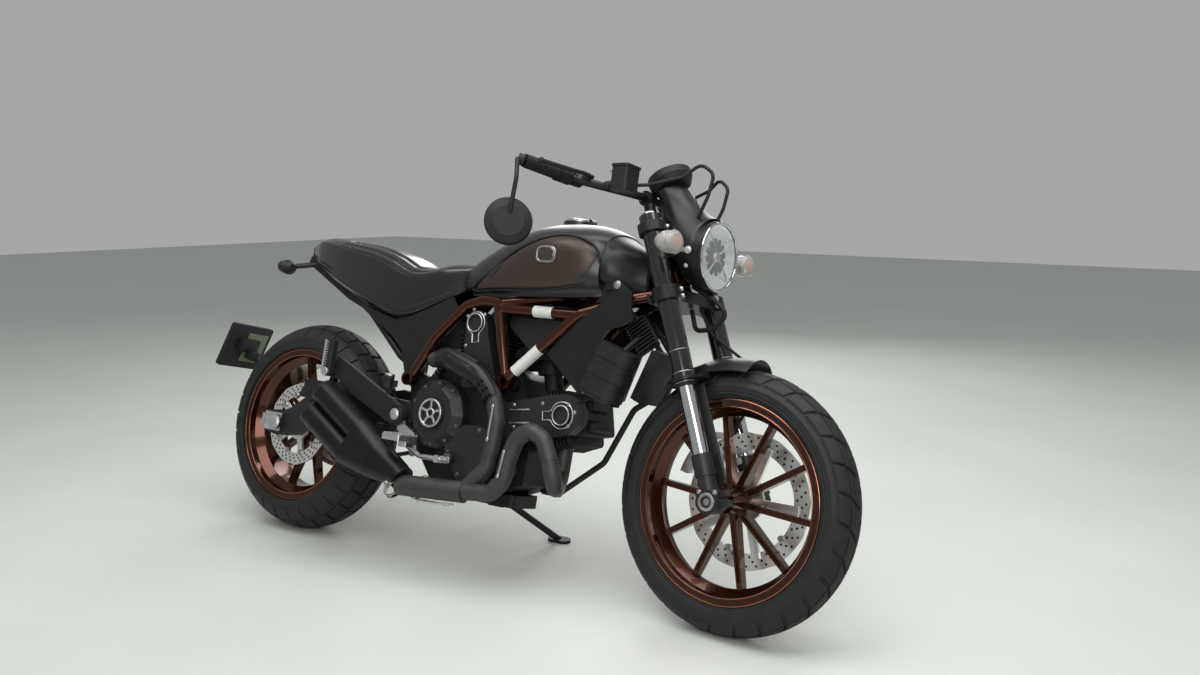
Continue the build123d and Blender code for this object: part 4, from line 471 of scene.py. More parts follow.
# steps along and across a block
BLOCK_STEPS = (3, 4)
TYRE_STEPS = 144
TYRES = {
    "front": {"x": WHEELBASE, "radius": FRONT_RADIUS, "half": 54, "curve": 58, "bead": 228.6, "rim": 45,
              "count": 28,
              "blocks": (((0.04, 2), (0.36, 24), (1.22, 24), (0.90, 2)),
                         ((0.42, 28), (0.60, 48), (1.46, 48), (1.28, 28)),
                         ((0.86, -24), (0.54, -2), (1.40, -2), (1.72, -24)),
                         ((1.10, -48), (0.92, -28), (1.78, -28), (1.96, -48)))},
    "rear": {"x": 0, "radius": REAR_RADIUS, "half": 89, "curve": 95, "bead": 215.9, "rim": 77,
             "count": 30,
             "blocks": (((0.06, -15), (0.06, 15), (0.94, 17), (0.94, -13)),
                        ((0.30, 21), (0.22, 51), (1.10, 53), (1.18, 23)),
                        ((0.30, -51), (0.22, -21), (1.10, -19), (1.18, -49)),
                        ((0.04, 57), (0.02, 83), (0.88, 86), (0.92, 59)),
                        ((0.02, -83), (0.04, -57), (0.92, -59), (0.88, -86)))},
}


def wheel_centre(end, y=0):
    return Vector((TYRES[end]["x"], y, TYRES[end]["radius"]))


def crown_radius(tyre, y):
    return tyre["radius"] - tyre["curve"] + sqrt(tyre["curve"] ** 2 - y ** 2)


def tread_point(tyre, pitches, y, sink):
    """A point of the tread some pitches round and a distance across, sunk below the crown."""
    turn = 2 * pi * pitches / tyre["count"]
    radius = crown_radius(tyre, y) - sink
    return Vector((tyre["x"] + radius * cos(turn), y, tyre["radius"] + radius * sin(turn)))


def block_layer(tyre, corners, index, sink, share):
    """Rows of points over a tread block, its corners spread to a share of their reach."""
    middle = [sum(corner[k] for corner in corners) / 4 for k in (0, 1)]
    spread = [[middle[k] + (corner[k] - middle[k]) * share for k in (0, 1)] for corner in corners]
    limit = tyre["half"] - 0.5
    rows = []
    for i in range(BLOCK_STEPS[0] + 1):
        a = i / BLOCK_STEPS[0]
        row = []
        for j in range(BLOCK_STEPS[1] + 1):
            b = j / BLOCK_STEPS[1]
            weights = ((1 - a) * (1 - b), (1 - a) * b, a * b, a * (1 - b))
            pitches, y = (sum(corner[k] * weight for corner, weight in zip(spread, weights)) for k in (0, 1))
            row.append(tread_point(tyre, index + pitches, min(max(y, -limit), limit), sink))
        rows.append(row)
    return rows


def add_block(shape, tyre, corners, index):
    """One tread block: corners are (share of the pitch, distance across), in order round it."""
    layers = [block_layer(tyre, corners, index, sink, share) for sink, share in BLOCK_LAYERS]
    shape.grid(layers[-1])
    edges = [rows[0] + [row[-1] for row in rows[1:]] + rows[-1][-2::-1] + [row[0] for row in rows[-2:0:-1]]
             for rows in layers]
    for low, high in zip(edges, edges[1:]):
        shape.grid([low, high], around=True, capped=False)


def add_tyre(end):
    tyre = TYRES[end]
    half, bead, rim = tyre["half"], tyre["bead"], tyre["rim"]
    places = [half * step / 10 for step in range(-10, 11)]
    crown = [(y, crown_radius(tyre, y) - TREAD_DEPTH) for y in places]
    edge = crown[-1][1]
    middle = (edge + bead) / 2
    seat = rim - 6.3
    wall = [(half - 0.2, edge - 4), (half, edge - 12), (half - 0.6, edge - 13), (half - 1.2, middle + 6),
            (half - 0.4, middle + 4), (half - 2.4, middle), (half - 5, bead + 26), (rim + 1.6, bead + 19),
            (rim + 1.0, bead + 16), (seat, bead + 14), (seat, bead + 0.4), (seat - 8, bead + 0.4),
            (half - 14, bead + 24), (half - 13, edge - 12), (0, tyre["radius"] - 17)]
    profile = crown + wall + [(-y, radius) for y, radius in reversed(wall[:-1])]
    shape = Shape()
    shape.lathe(wheel_centre(end), ACROSS, profile, TYRE_STEPS, closed=True)
    for index in range(tyre["count"]):
        for corners in tyre["blocks"]:
            add_block(shape, tyre, corners, index)
    cover = piece(end + "_tyre_tread", shape, "tyre", end + "_tyre", crease=30)
    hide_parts(end + "_tyre")


# ---------------------------------------------------------------- seat and tank
SIDES = ((1, "left"), (-1, "right"))

# x, half width, height of the top and of the bottom
SEAT_ROWS = ((-62, 62, 884, 836), (0, 92, 905, 800), (110, 118, 897, 752), (238, 130, 884, 704),
             (325, 134, 861, 676), (395, 132, 832, 664), (449, 128, 828, 676), (521, 112, 845, 712),
             (580, 84, 848, 752), (610, 70, 846, 790))
TANK_ROWS = ((566, 70, 822, 752), (630, 104, 871, 750), (722, 130, 923, 750), (818, 152, 959, 754),
             (915, 160, 971, 758), (1000, 150, 966, 764), (1050, 128, 948, 772))
SEAT_ENDS = (-60.5, 609)
SEAT_STEPS = 190
SKIN_STEPS = 68
SKIN_SHARE = 0.96
SKIN_INSET = 0.6
LINING_INSET = 11

# the skin's seams, as shares of the way from its top middle to its foot, about 300 mm
SKIN_REACH = 300
QUILT_LINES = (0.20, 0.33, 0.46)
QUILT_ENDS = (96, 500)
CROSS_SEAMS = (96, 120, 144)
SIDE_SEAM = 0.80
SIDE_PIPING = 0.87
STITCHES = 64
STITCH_START = 120
STITCH_PITCH = 6
STITCH_LENGTH = 3.4
STITCH_ASIDE = 0.018


def seam(distance, width):
    """Share of a sewn channel's depth at a distance from its line."""
    return max(0.0, 1 - (distance / width) ** 2) ** 2


def seam_depth(x, share):
    """How far the seams draw the seat's skin in at a place; the piping stands out."""
    depth = 2.6 * seam(abs(share - SIDE_SEAM) * SKIN_REACH, 7)
    depth -= 1.6 * seam(abs(share - SIDE_PIPING) * SKIN_REACH, 9)
    fade = min(1, (x - QUILT_ENDS[0]) / 20, (QUILT_ENDS[1] - x) / 30)
    if fade > 0:
        for line in QUILT_LINES:
            depth += 4.2 * seam(abs(share - line) * SKIN_REACH, 11) * fade
    if share < 0.47:
        for cross in CROSS_SEAMS:
            depth += 3.0 * seam(abs(x - cross - 30 * share), 6)
    return depth


def seat_skin(x, share, side, inset):
    """A point of the seat's cover: share runs from the top middle down the side."""
    line = half_section(*between(SEAT_ROWS, x), 0.66, 1.0, 8)
    place = min(share, 0.9999) * (len(line) - 1)
    i = int(place)
    (y0, z0), (y1, z1) = line[i], line[i + 1]
    y = y0 + (y1 - y0) * (place - i)
    z = z0 + (z1 - z0) * (place - i)
    out = Vector((z0 - z1, y1 - y0)).normalized()
    depth = inset + seam_depth(x, share)
    return Vector((x, side * (y - out.x * depth), z - out.y * depth))


def add_seat():
    start, end = SEAT_ENDS
    columns = [start + (end - start) * step / SEAT_STEPS for step in range(SEAT_STEPS + 1)]
    shares = [SKIN_SHARE * step / SKIN_STEPS for step in range(SKIN_STEPS + 1)]
    spots = [(share, -1, SKIN_INSET) for share in reversed(shares[1:])]
    spots += [(share, 1, SKIN_INSET) for share in shares]
    spots += [(share, 1, LINING_INSET) for share in shares[::-4]]
    spots += [(share, -1, LINING_INSET) for share in shares[4::4]]
    shape = Shape().grid([[seat_skin(x, *spot) for spot in spots] for x in columns], around=True)
    cover = piece("seat_cover", shape, "leather", "seat", crease=70)
    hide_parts("seat")
    thread = Shape()
    for side in (1, -1):
        for line in QUILT_LINES:
            for step in range(STITCHES):
                x = STITCH_START + STITCH_PITCH * step
                start = seat_skin(x, line + STITCH_ASIDE, side, 0.2)
                end = seat_skin(x + STITCH_LENGTH, line + STITCH_ASIDE, side, 0.2)
                thread.pipe([start, (start + end) / 2 + Vector((0, 0, 0.4)), end], 0.55, 5)
    piece("seat_thread", thread, "thread", "seat")


PANEL = ((638, 765), (750, 767), (870, 770), (950, 780), (1010, 798), (1038, 832), (1044, 868), (1022, 898),
         (965, 916), (899, 912), (806, 875), (712, 820))
PANEL_OUTLINE = curved([(x, 0, z) for x, z in PANEL], 8, closed=True)
PANEL_MIDDLE = Vector((900, 0, 838))
PANEL_STEPS = 14
BADGE = (906, 862)


def tank_side(x, z):
    """Half width of the tank at a place on its side."""
    line = half_section(*between(TANK_ROWS, x), 0.55, 0.92, 10)
    for (y0, z0), (y1, z1) in zip(line, line[1:]):
        if z1 <= z <= z0:
            return y0 + (y1 - y0) * (z0 - z) / max(z0 - z1, 0.001)
    return line[-1][0] if z < line[-1][1] else 0


def on_tank(x, z, side, rise):
    """A point at a rise off the tank's side, and further off where the tank narrows towards the seat."""
    return Vector((x, side * (tank_side(x, z) + rise + 0.09 * max(0, 715 - x)), z))


def panel_ring(share, side, rise):
    """The panel's outline drawn to a share of its size, on the tank's side."""
    spots = (PANEL_MIDDLE + (point - PANEL_MIDDLE) * share for point in PANEL_OUTLINE)
    return [on_tank(spot.x, spot.z, side, rise) for spot in spots]


def badge_ring(share, side, rise):
    """The badge's rounded outline drawn to a share of its size, on the tank's side."""
    ring = []
    for turn in turns(36):
        reach = share * (1 - 0.08 * cos(4 * turn))
        ring.append(on_tank(BADGE[0] + 31 * reach * cos(turn), BADGE[1] + 22 * reach * sin(turn), side, rise))
    return ring


def add_tank_panels():
    for side, word in SIDES:
        shares = [step / PANEL_STEPS for step in range(PANEL_STEPS)]
        rows = [panel_ring(max(share, 0.001), side, 6.5 * (1 - share ** 6) + 1.0) for share in shares]
        shape = Shape().grid(rows + [panel_ring(1, side, -6.0)], around=True, capped=False)
        panel = piece("tank_panel_" + word, shape, "tank_brown", "tank_panels", crease=50)
        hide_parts("tank_panels")
        groove = Shape()
        edge = panel_ring(1.012, side, 1.2)
        groove.pipe(edge + [edge[0]], 3.4, 8)
        piece("panel_groove_" + word, groove, "matt_black", "tank_panels")
        badge, badge_rim = Shape(), Shape()
        for share, rise, wire in ((1.0, 9.2, 1.5), (0.86, 10.6, 0.8)):
            ring = badge_ring(share, side, rise)
            middle = on_tank(*BADGE, side, rise)
            badge_rim.pipe(ring + [ring[0]], wire, 6)
            badge.grid([ring, [middle * 0.95 + point * 0.05 for point in ring]], around=True)
        piece("badge_" + word, badge, "badge", "tank_panels")
        piece("badge_rim_" + word, badge_rim, "bare_alloy", "tank_panels")


# ---------------------------------------------------------------- wheels
DISC_HALF = 2.4
DISC_HOLES = 36
DISC_STEPS = DISC_HOLES * 8
DISC_WAVE = 2.0


def spoke(turn, reach=1.0, y=0.0):
    """A step away from an axle: a reach at an angle, and a distance to the left."""
    return Vector((reach * cos(turn), y, reach * sin(turn)))


def add_rim_lips(end):
    """Bright rings along both lips of a rim, and thin matt black rings between them that paint the shade of the
    rim's grooves.
    """
    tyre = TYRES[end]
    lips, lines = Shape(), Shape()
    for side in (1, -1):
        outer = wheel_centre(end, side * (tyre["rim"] + 0.2))
        lips.ring(outer, ACROSS, tyre["bead"] + 12.4, 1.7, TYRE_STEPS)
        lips.ring(outer, ACROSS, tyre["bead"] - 5.0, 1.5, TYRE_STEPS)
        # Matt black rings set into the rim: painted shade in its grooves.
        inner = wheel_centre(end, side * (tyre["rim"] - 0.6))
        lines.ring(inner, ACROSS, tyre["bead"] + 8.4, 1.2, TYRE_STEPS)
        lines.ring(inner, ACROSS, tyre["bead"] - 1.4, 1.2, TYRE_STEPS)
    piece(end + "_rim_lips", lips, "copper_lip", end + "_rim")
    piece(end + "_rim_groove_shade", lines, "matt_black", end + "_rim")


def disc_circle(centre, reach, y, wave=0):
    return [centre + spoke(turn, reach + wave * sin(12 * turn), y) for turn in turns(DISC_STEPS)]


def add_disc(name, centre, radius, band, side):
    """Ring of a brake disc with a wavy edge, its drilled holes drawn as matt black plugs of painted shade, and the
    buttons that join it to its carrier.
    """
    inner = radius - band
    ring = Shape()
    faces = []
    for y in (-DISC_HALF, DISC_HALF):
        circles = [disc_circle(centre, inner + band * share, y) for share in (0, 0.2, 0.5, 0.8)]
        circles.append(disc_circle(centre, radius, y, DISC_WAVE))
        ring.grid(circles, around=True, capped=False)
        faces.append(circles)
    for edge in (0, -1):
        ring.grid([circles[edge] for circles in faces], around=True, capped=False)
    piece(name + "_ring", ring, "disc_steel", name)
    # The disc is not cut: solid matt black plugs through it paint the shade of its drilled holes.
    drilled_shade = Shape()
    for index in range(DISC_HOLES):
        for row, share in enumerate((0.22, 0.50, 0.78)):
            turn = 2 * pi * (index + row / 3) / DISC_HOLES
            spot = centre + spoke(turn, inner + band * share, -DISC_HALF - 0.15)
            drilled_shade.lathe(spot, ACROSS, [(0, 3.2), (2 * DISC_HALF + 0.3, 3.2)], 10)
    piece(name + "_holes", drilled_shade, "matt_black", name)
    buttons = Shape()
    for turn in turns(10):
        spot = centre + spoke(turn, inner - 1, -side * 4.0)
        buttons.lathe(spot, (0, side, 0), [(0, 8), (8.6, 8), (9.4, 6.5), (9.4, 3), (8.2, 3)], 16)
    piece(name + "_buttons", buttons, "steel", name)


# ---------------------------------------------------------------- front end
AXIS_FOOT = 1553
AXIS_UP = Vector((-sin(RAKE), 0, cos(RAKE)))
AXIS_AHEAD = Vector((cos(RAKE), 0, sin(RAKE)))
LEG = 106
LEG_AHEAD = 21.4
HEADLIGHT = Vector((1316, 0, 903))
SIGNAL = Vector((1282, 176, 909))

# distance ahead of the signal's middle, share of its size
SIGNAL_LENS = ((10, 1.0), (19, 0.985), (24, 0.93), (27, 0.82), (29, 0.6), (30, 0.3), (30.2, 0.01))
SIGNAL_POD = ((12, 1.01), (2, 1.03), (-10, 0.94), (-19, 0.78), (-27, 0.56), (-34, 0.30), (-37, 0.06))


def axis_point(x, y, z):
    """A point of the upright machine from its place in the steering axis's own frame."""
    return Vector((AXIS_FOOT + cos(RAKE) * x - sin(RAKE) * z, y, sin(RAKE) * x + cos(RAKE) * z))


def add_lamp_lens():
    lens = Shape()
    profile = [(0, 83.4), (4, 83.4), (8, 79), (13, 66), (17, 48), (19.5, 25), (20.5, 0.5)]
    lens.lathe(HEADLIGHT + Vector((2, 0, 0)), AHEAD, profile, 64)
    lens = piece("lamp_lens", lens, "glass", "headlight_lens")
    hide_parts("headlight_lens")


def add_lamp_reflector():
    """Bowl behind the lens, with twelve facets and shallow rings."""
    rows = []
    for step in range(15):
        share = step / 14
        reach = 80 * share + 9 * (1 - share)
        rings = 0.9 * abs(sin(pi * share * 5))
        row = []
        for turn in turns(96):
            facet = 1.6 * abs(sin(6 * turn)) * share * (1 - share) * 4 + rings
            depth = -7 + 9 * share ** 2 - facet * 0.8
            row.append(HEADLIGHT + Vector((depth, reach * cos(turn), reach * sin(turn))))
        rows.append(row)
    bowl = Shape().grid(rows, around=True, capped=False)
    piece("lamp_reflector", bowl, "reflector", "headlight", crease=25)


def add_lamp_fittings():
    """Shield of the bulb on its four stays, the ring round the lens and the lamp's screws."""
    bulb = Shape()
    bulb.lathe(HEADLIGHT - Vector((8, 0, 0)), AHEAD, [(0, 14), (6, 14), (9, 12), (12, 6), (13, 0.5)], 28)
    for turn in turns(4, pi / 4):
        stay = [HEADLIGHT + Vector((ahead, reach * cos(turn), reach * sin(turn)))
                for ahead, reach in ((1, 12), (4, 46), (2, 76))]
        bulb.pipe(stay, 1.8, 8)
    piece("lamp_bulb_shield", bulb, "steel", "headlight")
    rim = Shape().ring(HEADLIGHT + Vector((5, 0, 0)), AHEAD, 84.5, 3.2, 72, 10)
    piece("lamp_ring", rim, "chrome", "headlight")
    screws = Shape()
    for side in (1, -1):
        screws.bolt(HEADLIGHT + Vector((-30, side * 91.5, 2)), (0, side, 0), 6.5, 5)
        screws.bolt(HEADLIGHT + Vector((-36, side * 84, -36)), (0, side, -0.35), 4, 3)
    piece("lamp_screws", screws, "bare_alloy", "headlight")


def signal_ring(side, ahead, share=1.0, size=(33, 27), steps=40):
    """An upright ellipse, a share of a size, some distance ahead of a front signal's middle."""
    middle = Vector((SIGNAL.x + ahead, side * SIGNAL.y, SIGNAL.z))
    wide, high = size
    return [middle + Vector((0, wide * share * cos(turn), high * share * sin(turn))) for turn in turns(steps)]


def add_front_signals():
    for side, word in SIDES:
        glass = Shape().grid([signal_ring(side, *place, (32, 26)) for place in SIGNAL_LENS], around=True)
        piece("signal_lens_" + word, glass, "clear_lens", "front_signals")
        bulb = Shape()
        bulb.lathe((SIGNAL.x + 22.2, side * SIGNAL.y, SIGNAL.z), AHEAD,
                   [(0, 14), (2, 14), (4, 11), (5, 6), (5.4, 0.4)], 24)
        piece("signal_bulb_" + word, bulb, "amber", "front_signals")
        rim = Shape()
        line = signal_ring(side, 20, steps=48)
        rim.pipe(line + [line[0]], 1.6, 8)
        piece("signal_rim_" + word, rim, "clear_lens", "front_signals")
        pod = Shape().grid([signal_ring(side, *place) for place in SIGNAL_POD], around=True)
        piece("signal_pod_" + word, pod, "clear_lens", "front_signals")


def add_fork_bolts():
    """Pinch bolts of the yokes, caps of the legs and the stem's nut."""
    bolts = Shape()
    for side in (1, -1):
        for height, radius in ((836, 5.5), (854, 5.5), (1021, 5.0)):
            spot = axis_point(LEG_AHEAD + 31, side * (LEG - 22), height)
            bolts.bolt(spot, (AXIS_AHEAD.x, -side * 0.35, AXIS_AHEAD.z), radius, 6)
        top = axis_point(LEG_AHEAD, side * LEG, 1056)
        bolts.nut(top, AXIS_UP, 19, 7)
        bolts.lathe(top + AXIS_UP * 3, AXIS_UP, [(0, 9), (8, 9), (10, 7), (10, 3)], 24)
    bolts.nut(axis_point(0, 0, 1034), AXIS_UP, 17, 9)
    piece("fork_bolts", bolts, "bare_alloy", "yokes")


def add_fork_legs():
    """Rings and wipers of the fork's tubes, round skins on the stanchions and the ends of the axle."""
    rings, wipers, tubes, axle = Shape(), Shape(), Shape(), Shape()
    for side in (1, -1):
        base = axis_point(LEG_AHEAD, side * LEG, 0)
        for height, radius, wire in ((645, 26.6, 1.6), (700, 26.3, 0.9), (620, 29.1, 1.0)):
            rings.ring(base + AXIS_UP * height, AXIS_UP, radius, wire, 48)
        wipers.lathe(base + AXIS_UP * 611.5, AXIS_UP, [(0, 21.2), (0, 25), (4, 27), (6, 27), (6, 24)], 48)
        tubes.lathe(base + AXIS_UP * 447, AXIS_UP, [(0, 20.75), (164, 20.75)], 96)
        axle.lathe(wheel_centre("front", side * (LEG + 24.5)), (0, side, 0),
                   [(0, 21), (2.5, 21), (3.5, 19), (3.5, 14), (-8, 13.4), (-8, 0.5)], 40)
        for turn in (pi - 0.7, pi - 2.2):
            axle.bolt(wheel_centre("front") + spoke(turn, 30, side * (LEG + 22)), (0, side, 0), 4.5, 4)
    piece("fork_rings", rings, "steel", "fork_tubes")
    piece("stanchion_skins", tubes, "chrome", "stanchions")
    piece("fork_wipers", wipers, "rubber", "stanchions")
    piece("axle_ends", axle, "steel", "fork_feet")


# ---------------------------------------------------------------- engine and exhaust
CLUTCH = Vector((600, 0, 414))
CRANK = Vector((720, 0, 420))
COVER_BOLTS = ((660, 318), (704, 264), (796, 254), (822, 300), (810, 366), (756, 388))

# upper end of each belt cover, radius of its bright ring, and how far aside its bolts stand
BELT_ENDS = ((Vector((1002.8, 0, 458.7)), 34, 0.75), (Vector((682.6, 0, 671.5)), 29.5, 0.8))
KEYHOLE_STEM = ((3, 11), (24, 11), (24, -11), (3, -11))
BELT_BOLTS = ((38, 10), (20, 36), (20, -36), (-60, 42), (-150, 40), (-150, -36))


def at(spot, y):
    """A spot of the side view at a distance across the machine."""
    return spot + Vector((0, y, 0))


def add_clutch_cover():
    """Bright five-spoked star on the clutch cover, the ribs round it and the bolts of both engine covers."""
    star = Shape()
    rim = [(-1, 33.5), (2.6, 33.5), (3.4, 34.5), (3.4, 38.5), (2.6, 39.5), (-1, 39.5)]
    boss = [(-4, 8.5), (1.4, 8.5), (2.2, 9.5), (2.2, 12.5), (1.4, 13.5), (-4, 13.5)]
    star.lathe(at(CLUTCH, -163), RIGHT, rim, 72, closed=True)
    star.lathe(at(CLUTCH, -163), RIGHT, boss, 48, closed=True)
    for turn in turns(5, 0.35):
        star.slab(at(CLUTCH, -161.5) + spoke(turn, 23.5), (22, 6.6, 3.4), spoke(turn), RIGHT)
    piece("clutch_star", star, "bare_alloy", "engine_covers", bevel=0.3)
    well = Shape().lathe(at(CLUTCH, -159.4), RIGHT, [(0, 33), (0.6, 33)], 48)
    piece("clutch_well", well, "matt_black", "engine_covers")
    ribs = Shape()
    ribs.ring(at(CLUTCH, -163.2), RIGHT, 42.5, 1.6, 60)
    for turn in turns(10):
        ribs.pipe([CLUTCH + spoke(turn, 90, -138), CLUTCH + spoke(turn, 70.5, -157)], 1.5, 8)
    piece("clutch_ribs", ribs, "engine_black", "engine_covers")
    bolts = Shape()
    for turn in turns(10, pi / 10):
        bolts.bolt(CLUTCH + spoke(turn, 82, -143.5), RIGHT, 4.2)
    for x, z in COVER_BOLTS:
        bolts.bolt((x, -138, z), RIGHT, 4.6)
    bolts.nut((672, -152, 304), RIGHT, 10, 5)
    piece("cover_bolts", bolts, "steel_dark", "engine_covers")


def belt_directions(end):
    """Directions from the crank to a belt cover's upper end, and across it."""
    out = (end - CRANK).normalized()
    return out, Vector((-out.z, 0, out.x))


def add_belt_marks():
    """Bright keyhole rings on the belt covers, two bright lines towards the crank, and the covers' bolts."""
    marks, bolts = Shape(), Shape()
    for end, reach, narrow in BELT_ENDS:
        out, across = belt_directions(end)
        face = at(end, -130.8)
        arc = [radians(24 + 6.5 * step) for step in range(49)]
        rim = [face - out * cos(turn) * reach - across * sin(turn) * reach for turn in arc]
        stem = [face - out * (reach + far) + across * aside for far, aside in KEYHOLE_STEM]
        marks.pipe(rim + stem + [rim[0]], 2.1, 8)
        marks.ring(at(face, -5.4), ACROSS, 24.6, 1.9, 64)
        for far, aside in BELT_BOLTS:
            bolts.bolt(at(end, -129.8) + out * far + across * aside * narrow, RIGHT, 3.6)
    out, across = belt_directions(BELT_ENDS[0][0])
    for side in (1, -1):
        start = at(CRANK, -130.6) + across * side * 17 + out * 122
        marks.pipe([start, start + out * 64], 2.2, 8)
    piece("belt_marks", marks, "bare_alloy", "belt_covers")
    piece("belt_bolts", bolts, "steel", "belt_covers")


HEADER_BEADS = (((1012, -168, 345), (-0.3, 0, 1), 22.2), ((822, -165, 330), (0.05, 0, 1), 21.7),
                ((690, -186, 222), AHEAD, 28.2), ((640, -189, 221), AHEAD, 28.2))
HEADER_CLIPS = (((826, -186, 462), (824, -186, 366)), ((888, -192.5, 352), (880, -193.5, 280)))
COLLECTOR_RAILS = (((742, -196, 190), (700, -206, 186), (640, -208, 184), (612, -206, 190)),
                   ((742, -180, 190), (700, -186, 186), (640, -188, 184), (612, -190, 190)))
SHIELD_PATH = ((598, -151, 561), (640, -162, 566), (695, -164, 551), (742, -163, 534), (782, -163, 505),
               (808, -164, 476))
SHIELD_REACH = 33.5
SHIELD_STEPS = 16
SHIELD_GROOVES = (5, 11)
SHIELD_HOLE_ROWS = (23, 26, 29)
SHIELD_HOLE_TURNS = (radians(-34), radians(-8), radians(18))


def add_header_details():
    """Weld beads and clips of the headers."""
    seams = Shape()
    for centre, axis, radius in HEADER_BEADS:
        seams.ring(centre, axis, radius, 1.3, 40)
    piece("header_seams", seams, "header_grey", "exhaust")
    clips = Shape()
    for start, end in HEADER_CLIPS:
        run = Vector(end) - Vector(start)
        clips.slab(along(start, end, 0.5), (run.length, 2.4, 5), run, AHEAD)
        for share in (0.06, 0.94):
            clips.lathe(along(start, end, share), RIGHT, [(0, 4.4), (2.4, 4.4), (3, 3.4)], 16)
    piece("header_clips", clips, "bare_alloy", "exhaust", bevel=0.4)


def add_collector_guard():
    guard = Shape()
    for rail in COLLECTOR_RAILS:
        guard.pipe(rail, 2.4, 8)
    for x in (630, 655, 680, 705, 730):
        guard.pipe([(x, -206, 186), (x, -186, 186)], 2.2, 8)
    piece("collector_guard", guard, "bare_alloy", "exhaust")


def add_header_shield():
    """Grooved half shell along the rear header, with its perforated end: the holes are drawn as near-black discs
    of painted shade.
    """
    shield, hole_shade = Shape(), Shape()
    path = curved(SHIELD_PATH, 6)
    rows = []
    for index, centre in enumerate(path):
        ahead = (path[min(index + 1, len(path) - 1)] - path[max(index - 1, 0)]).normalized()
        up = Vector((-ahead.z, 0, ahead.x))
        share = index / (len(path) - 1)
        reach = SHIELD_REACH - 5.5 * max(0, 2 * share - 1) - 3.5 * max(0, 1 - 5 * share)
        row = []
        for step in range(SHIELD_STEPS + 1):
            turn = radians(-78 + 140 * step / SHIELD_STEPS)
            sink = 2.0 if step in SHIELD_GROOVES and 0.08 < share < 0.66 else 0
            sink += 2.5 if step in (0, SHIELD_STEPS) else 0
            row.append(centre + (up * sin(turn) - ACROSS * cos(turn)) * (reach - sink))
        rows.append(row)
        # The holes are not cut: thin near-black discs on the shell paint the shade inside them.
        if index in SHIELD_HOLE_ROWS:
            for turn in SHIELD_HOLE_TURNS:
                out = up * sin(turn) - ACROSS * cos(turn)
                hole_shade.lathe(centre + out * (reach - 0.6), out, [(0, 4.4), (1.0, 4.4)], 16)
    shield.grid(rows)
    piece("header_shield", shield, "satin_black", "exhaust", crease=40)
    piece("shield_hole_shade", hole_shade, "hole_painted_shade", "exhaust")


SILENCER_TILT = radians(29)
SILENCER_RISE = 450
SILENCER_Y = -205
BARRELS = (37, -37)
CAP_PROFILE = ((-1.5, 22), (-4, 24), (-5, 30), (-3, 36), (3, 38.6), (12, 38.8), (12, 36))


def silencer_point(reach, across):
    """A point of the silencer's middle plane, from a reach along its tilted axis and a distance above it."""
    rise = SILENCER_RISE + across
    return Vector((reach * cos(SILENCER_TILT) + rise * sin(SILENCER_TILT), SILENCER_Y,
                   rise * cos(SILENCER_TILT) - reach * sin(SILENCER_TILT)))


def add_silencer_details():
    """End caps and bores of both barrels, and the clamp ahead of them."""
    ahead = (silencer_point(1, 0) - silencer_point(0, 0)).normalized()
    up = Vector((-ahead.z, 0, ahead.x))
    caps, bores = Shape(), Shape()
    for across in BARRELS:
        end = silencer_point(-4, across)
        caps.lathe(end, ahead, CAP_PROFILE, 56)
        bores.lathe(end - ahead * 4, ahead, [(0.2, 22.5), (26, 20.5), (26, 0.5)], 40)
        for turn in turns(3, 0.6):
            caps.bolt(end - ahead * 3.6 + (ACROSS * cos(turn) + up * sin(turn)) * 31.5, -ahead, 2.6)
    piece("silencer_caps", caps, "satin_black", "silencer")
    piece("silencer_bores", bores, "matt_black", "silencer")
    band = Shape()
    joint = silencer_point(380, 0)
    lug = joint + ahead * 8
    band.ring(joint, ahead, 32, 1.6, 48)
    band.lathe(joint + ahead * 4, ahead, [(0, 31.5), (0, 33.2), (9, 33.2), (9, 31.5)], 48, closed=True)
    band.slab(lug + Vector((0, -34, 10)), (9, 12, 14), ahead)
    band.bolt(lug + Vector((0, -40, 10)), RIGHT, 5)
    piece("silencer_clamp", band, "steel", "silencer", bevel=0.4)


# ---------------------------------------------------------------- frame, foot controls and rear
PIVOT = (489, 181, 396)
SLEEVES = (((746, -125, 716), (994, -108, 718), 0.47, 0.70), ((812, -125, 535), (994, -108, 720), 0.10, 0.46))
PEG_TOOTH = ((532, 345), (590, 345), (588, 350), (585, 346.5), (561, 346.5), (537, 346.5), (534, 350))
NOSE_PLATE = ((1062, 788), (1143, 788), (1128, 797), (1070, 842), (1064, 838))
BOOT_PROFILE = ((0, 20), (8, 24), (20, 24), (26, 20), (34, 24), (46, 24), (52, 20), (60, 25), (92, 25))


def add_frame_details():
    """Blank pale sleeves on two tubes, and the nuts at the swingarm's pivot and the rear axle."""
    sleeves = Shape()
    for start, end, low, high in SLEEVES:
        sleeves.pipe([along(start, end, low), along(start, end, high)], 15.6, 36)
    piece("frame_sleeves", sleeves, "pale_sleeve", "frame")
    nuts, rings = Shape(), Shape()
    for side in (1, -1):
        pivot = (PIVOT[0], side * PIVOT[1], PIVOT[2])
        nuts.nut(pivot, (0, side, 0), 13, 6)
        rings.ring(pivot, ACROSS, 24, 2.4, 48)
        nuts.nut((0, side * 164, REAR_RADIUS), (0, side, 0), 18, 7)
        nuts.slab((-18, side * 154.8, 316), (70, 1.8, 54))
        for step in range(7):
            nuts.slab((-46 + 7 * step, side * 156, 296), (1.4, 1.2, 10))
        nuts.slab((-60, side * 150, 316), (10, 12, 40))
    piece("pivot_nuts", nuts, "bare_alloy", "swingarm", bevel=0.4)
    piece("pivot_rings", rings, "matt_black", "swingarm")


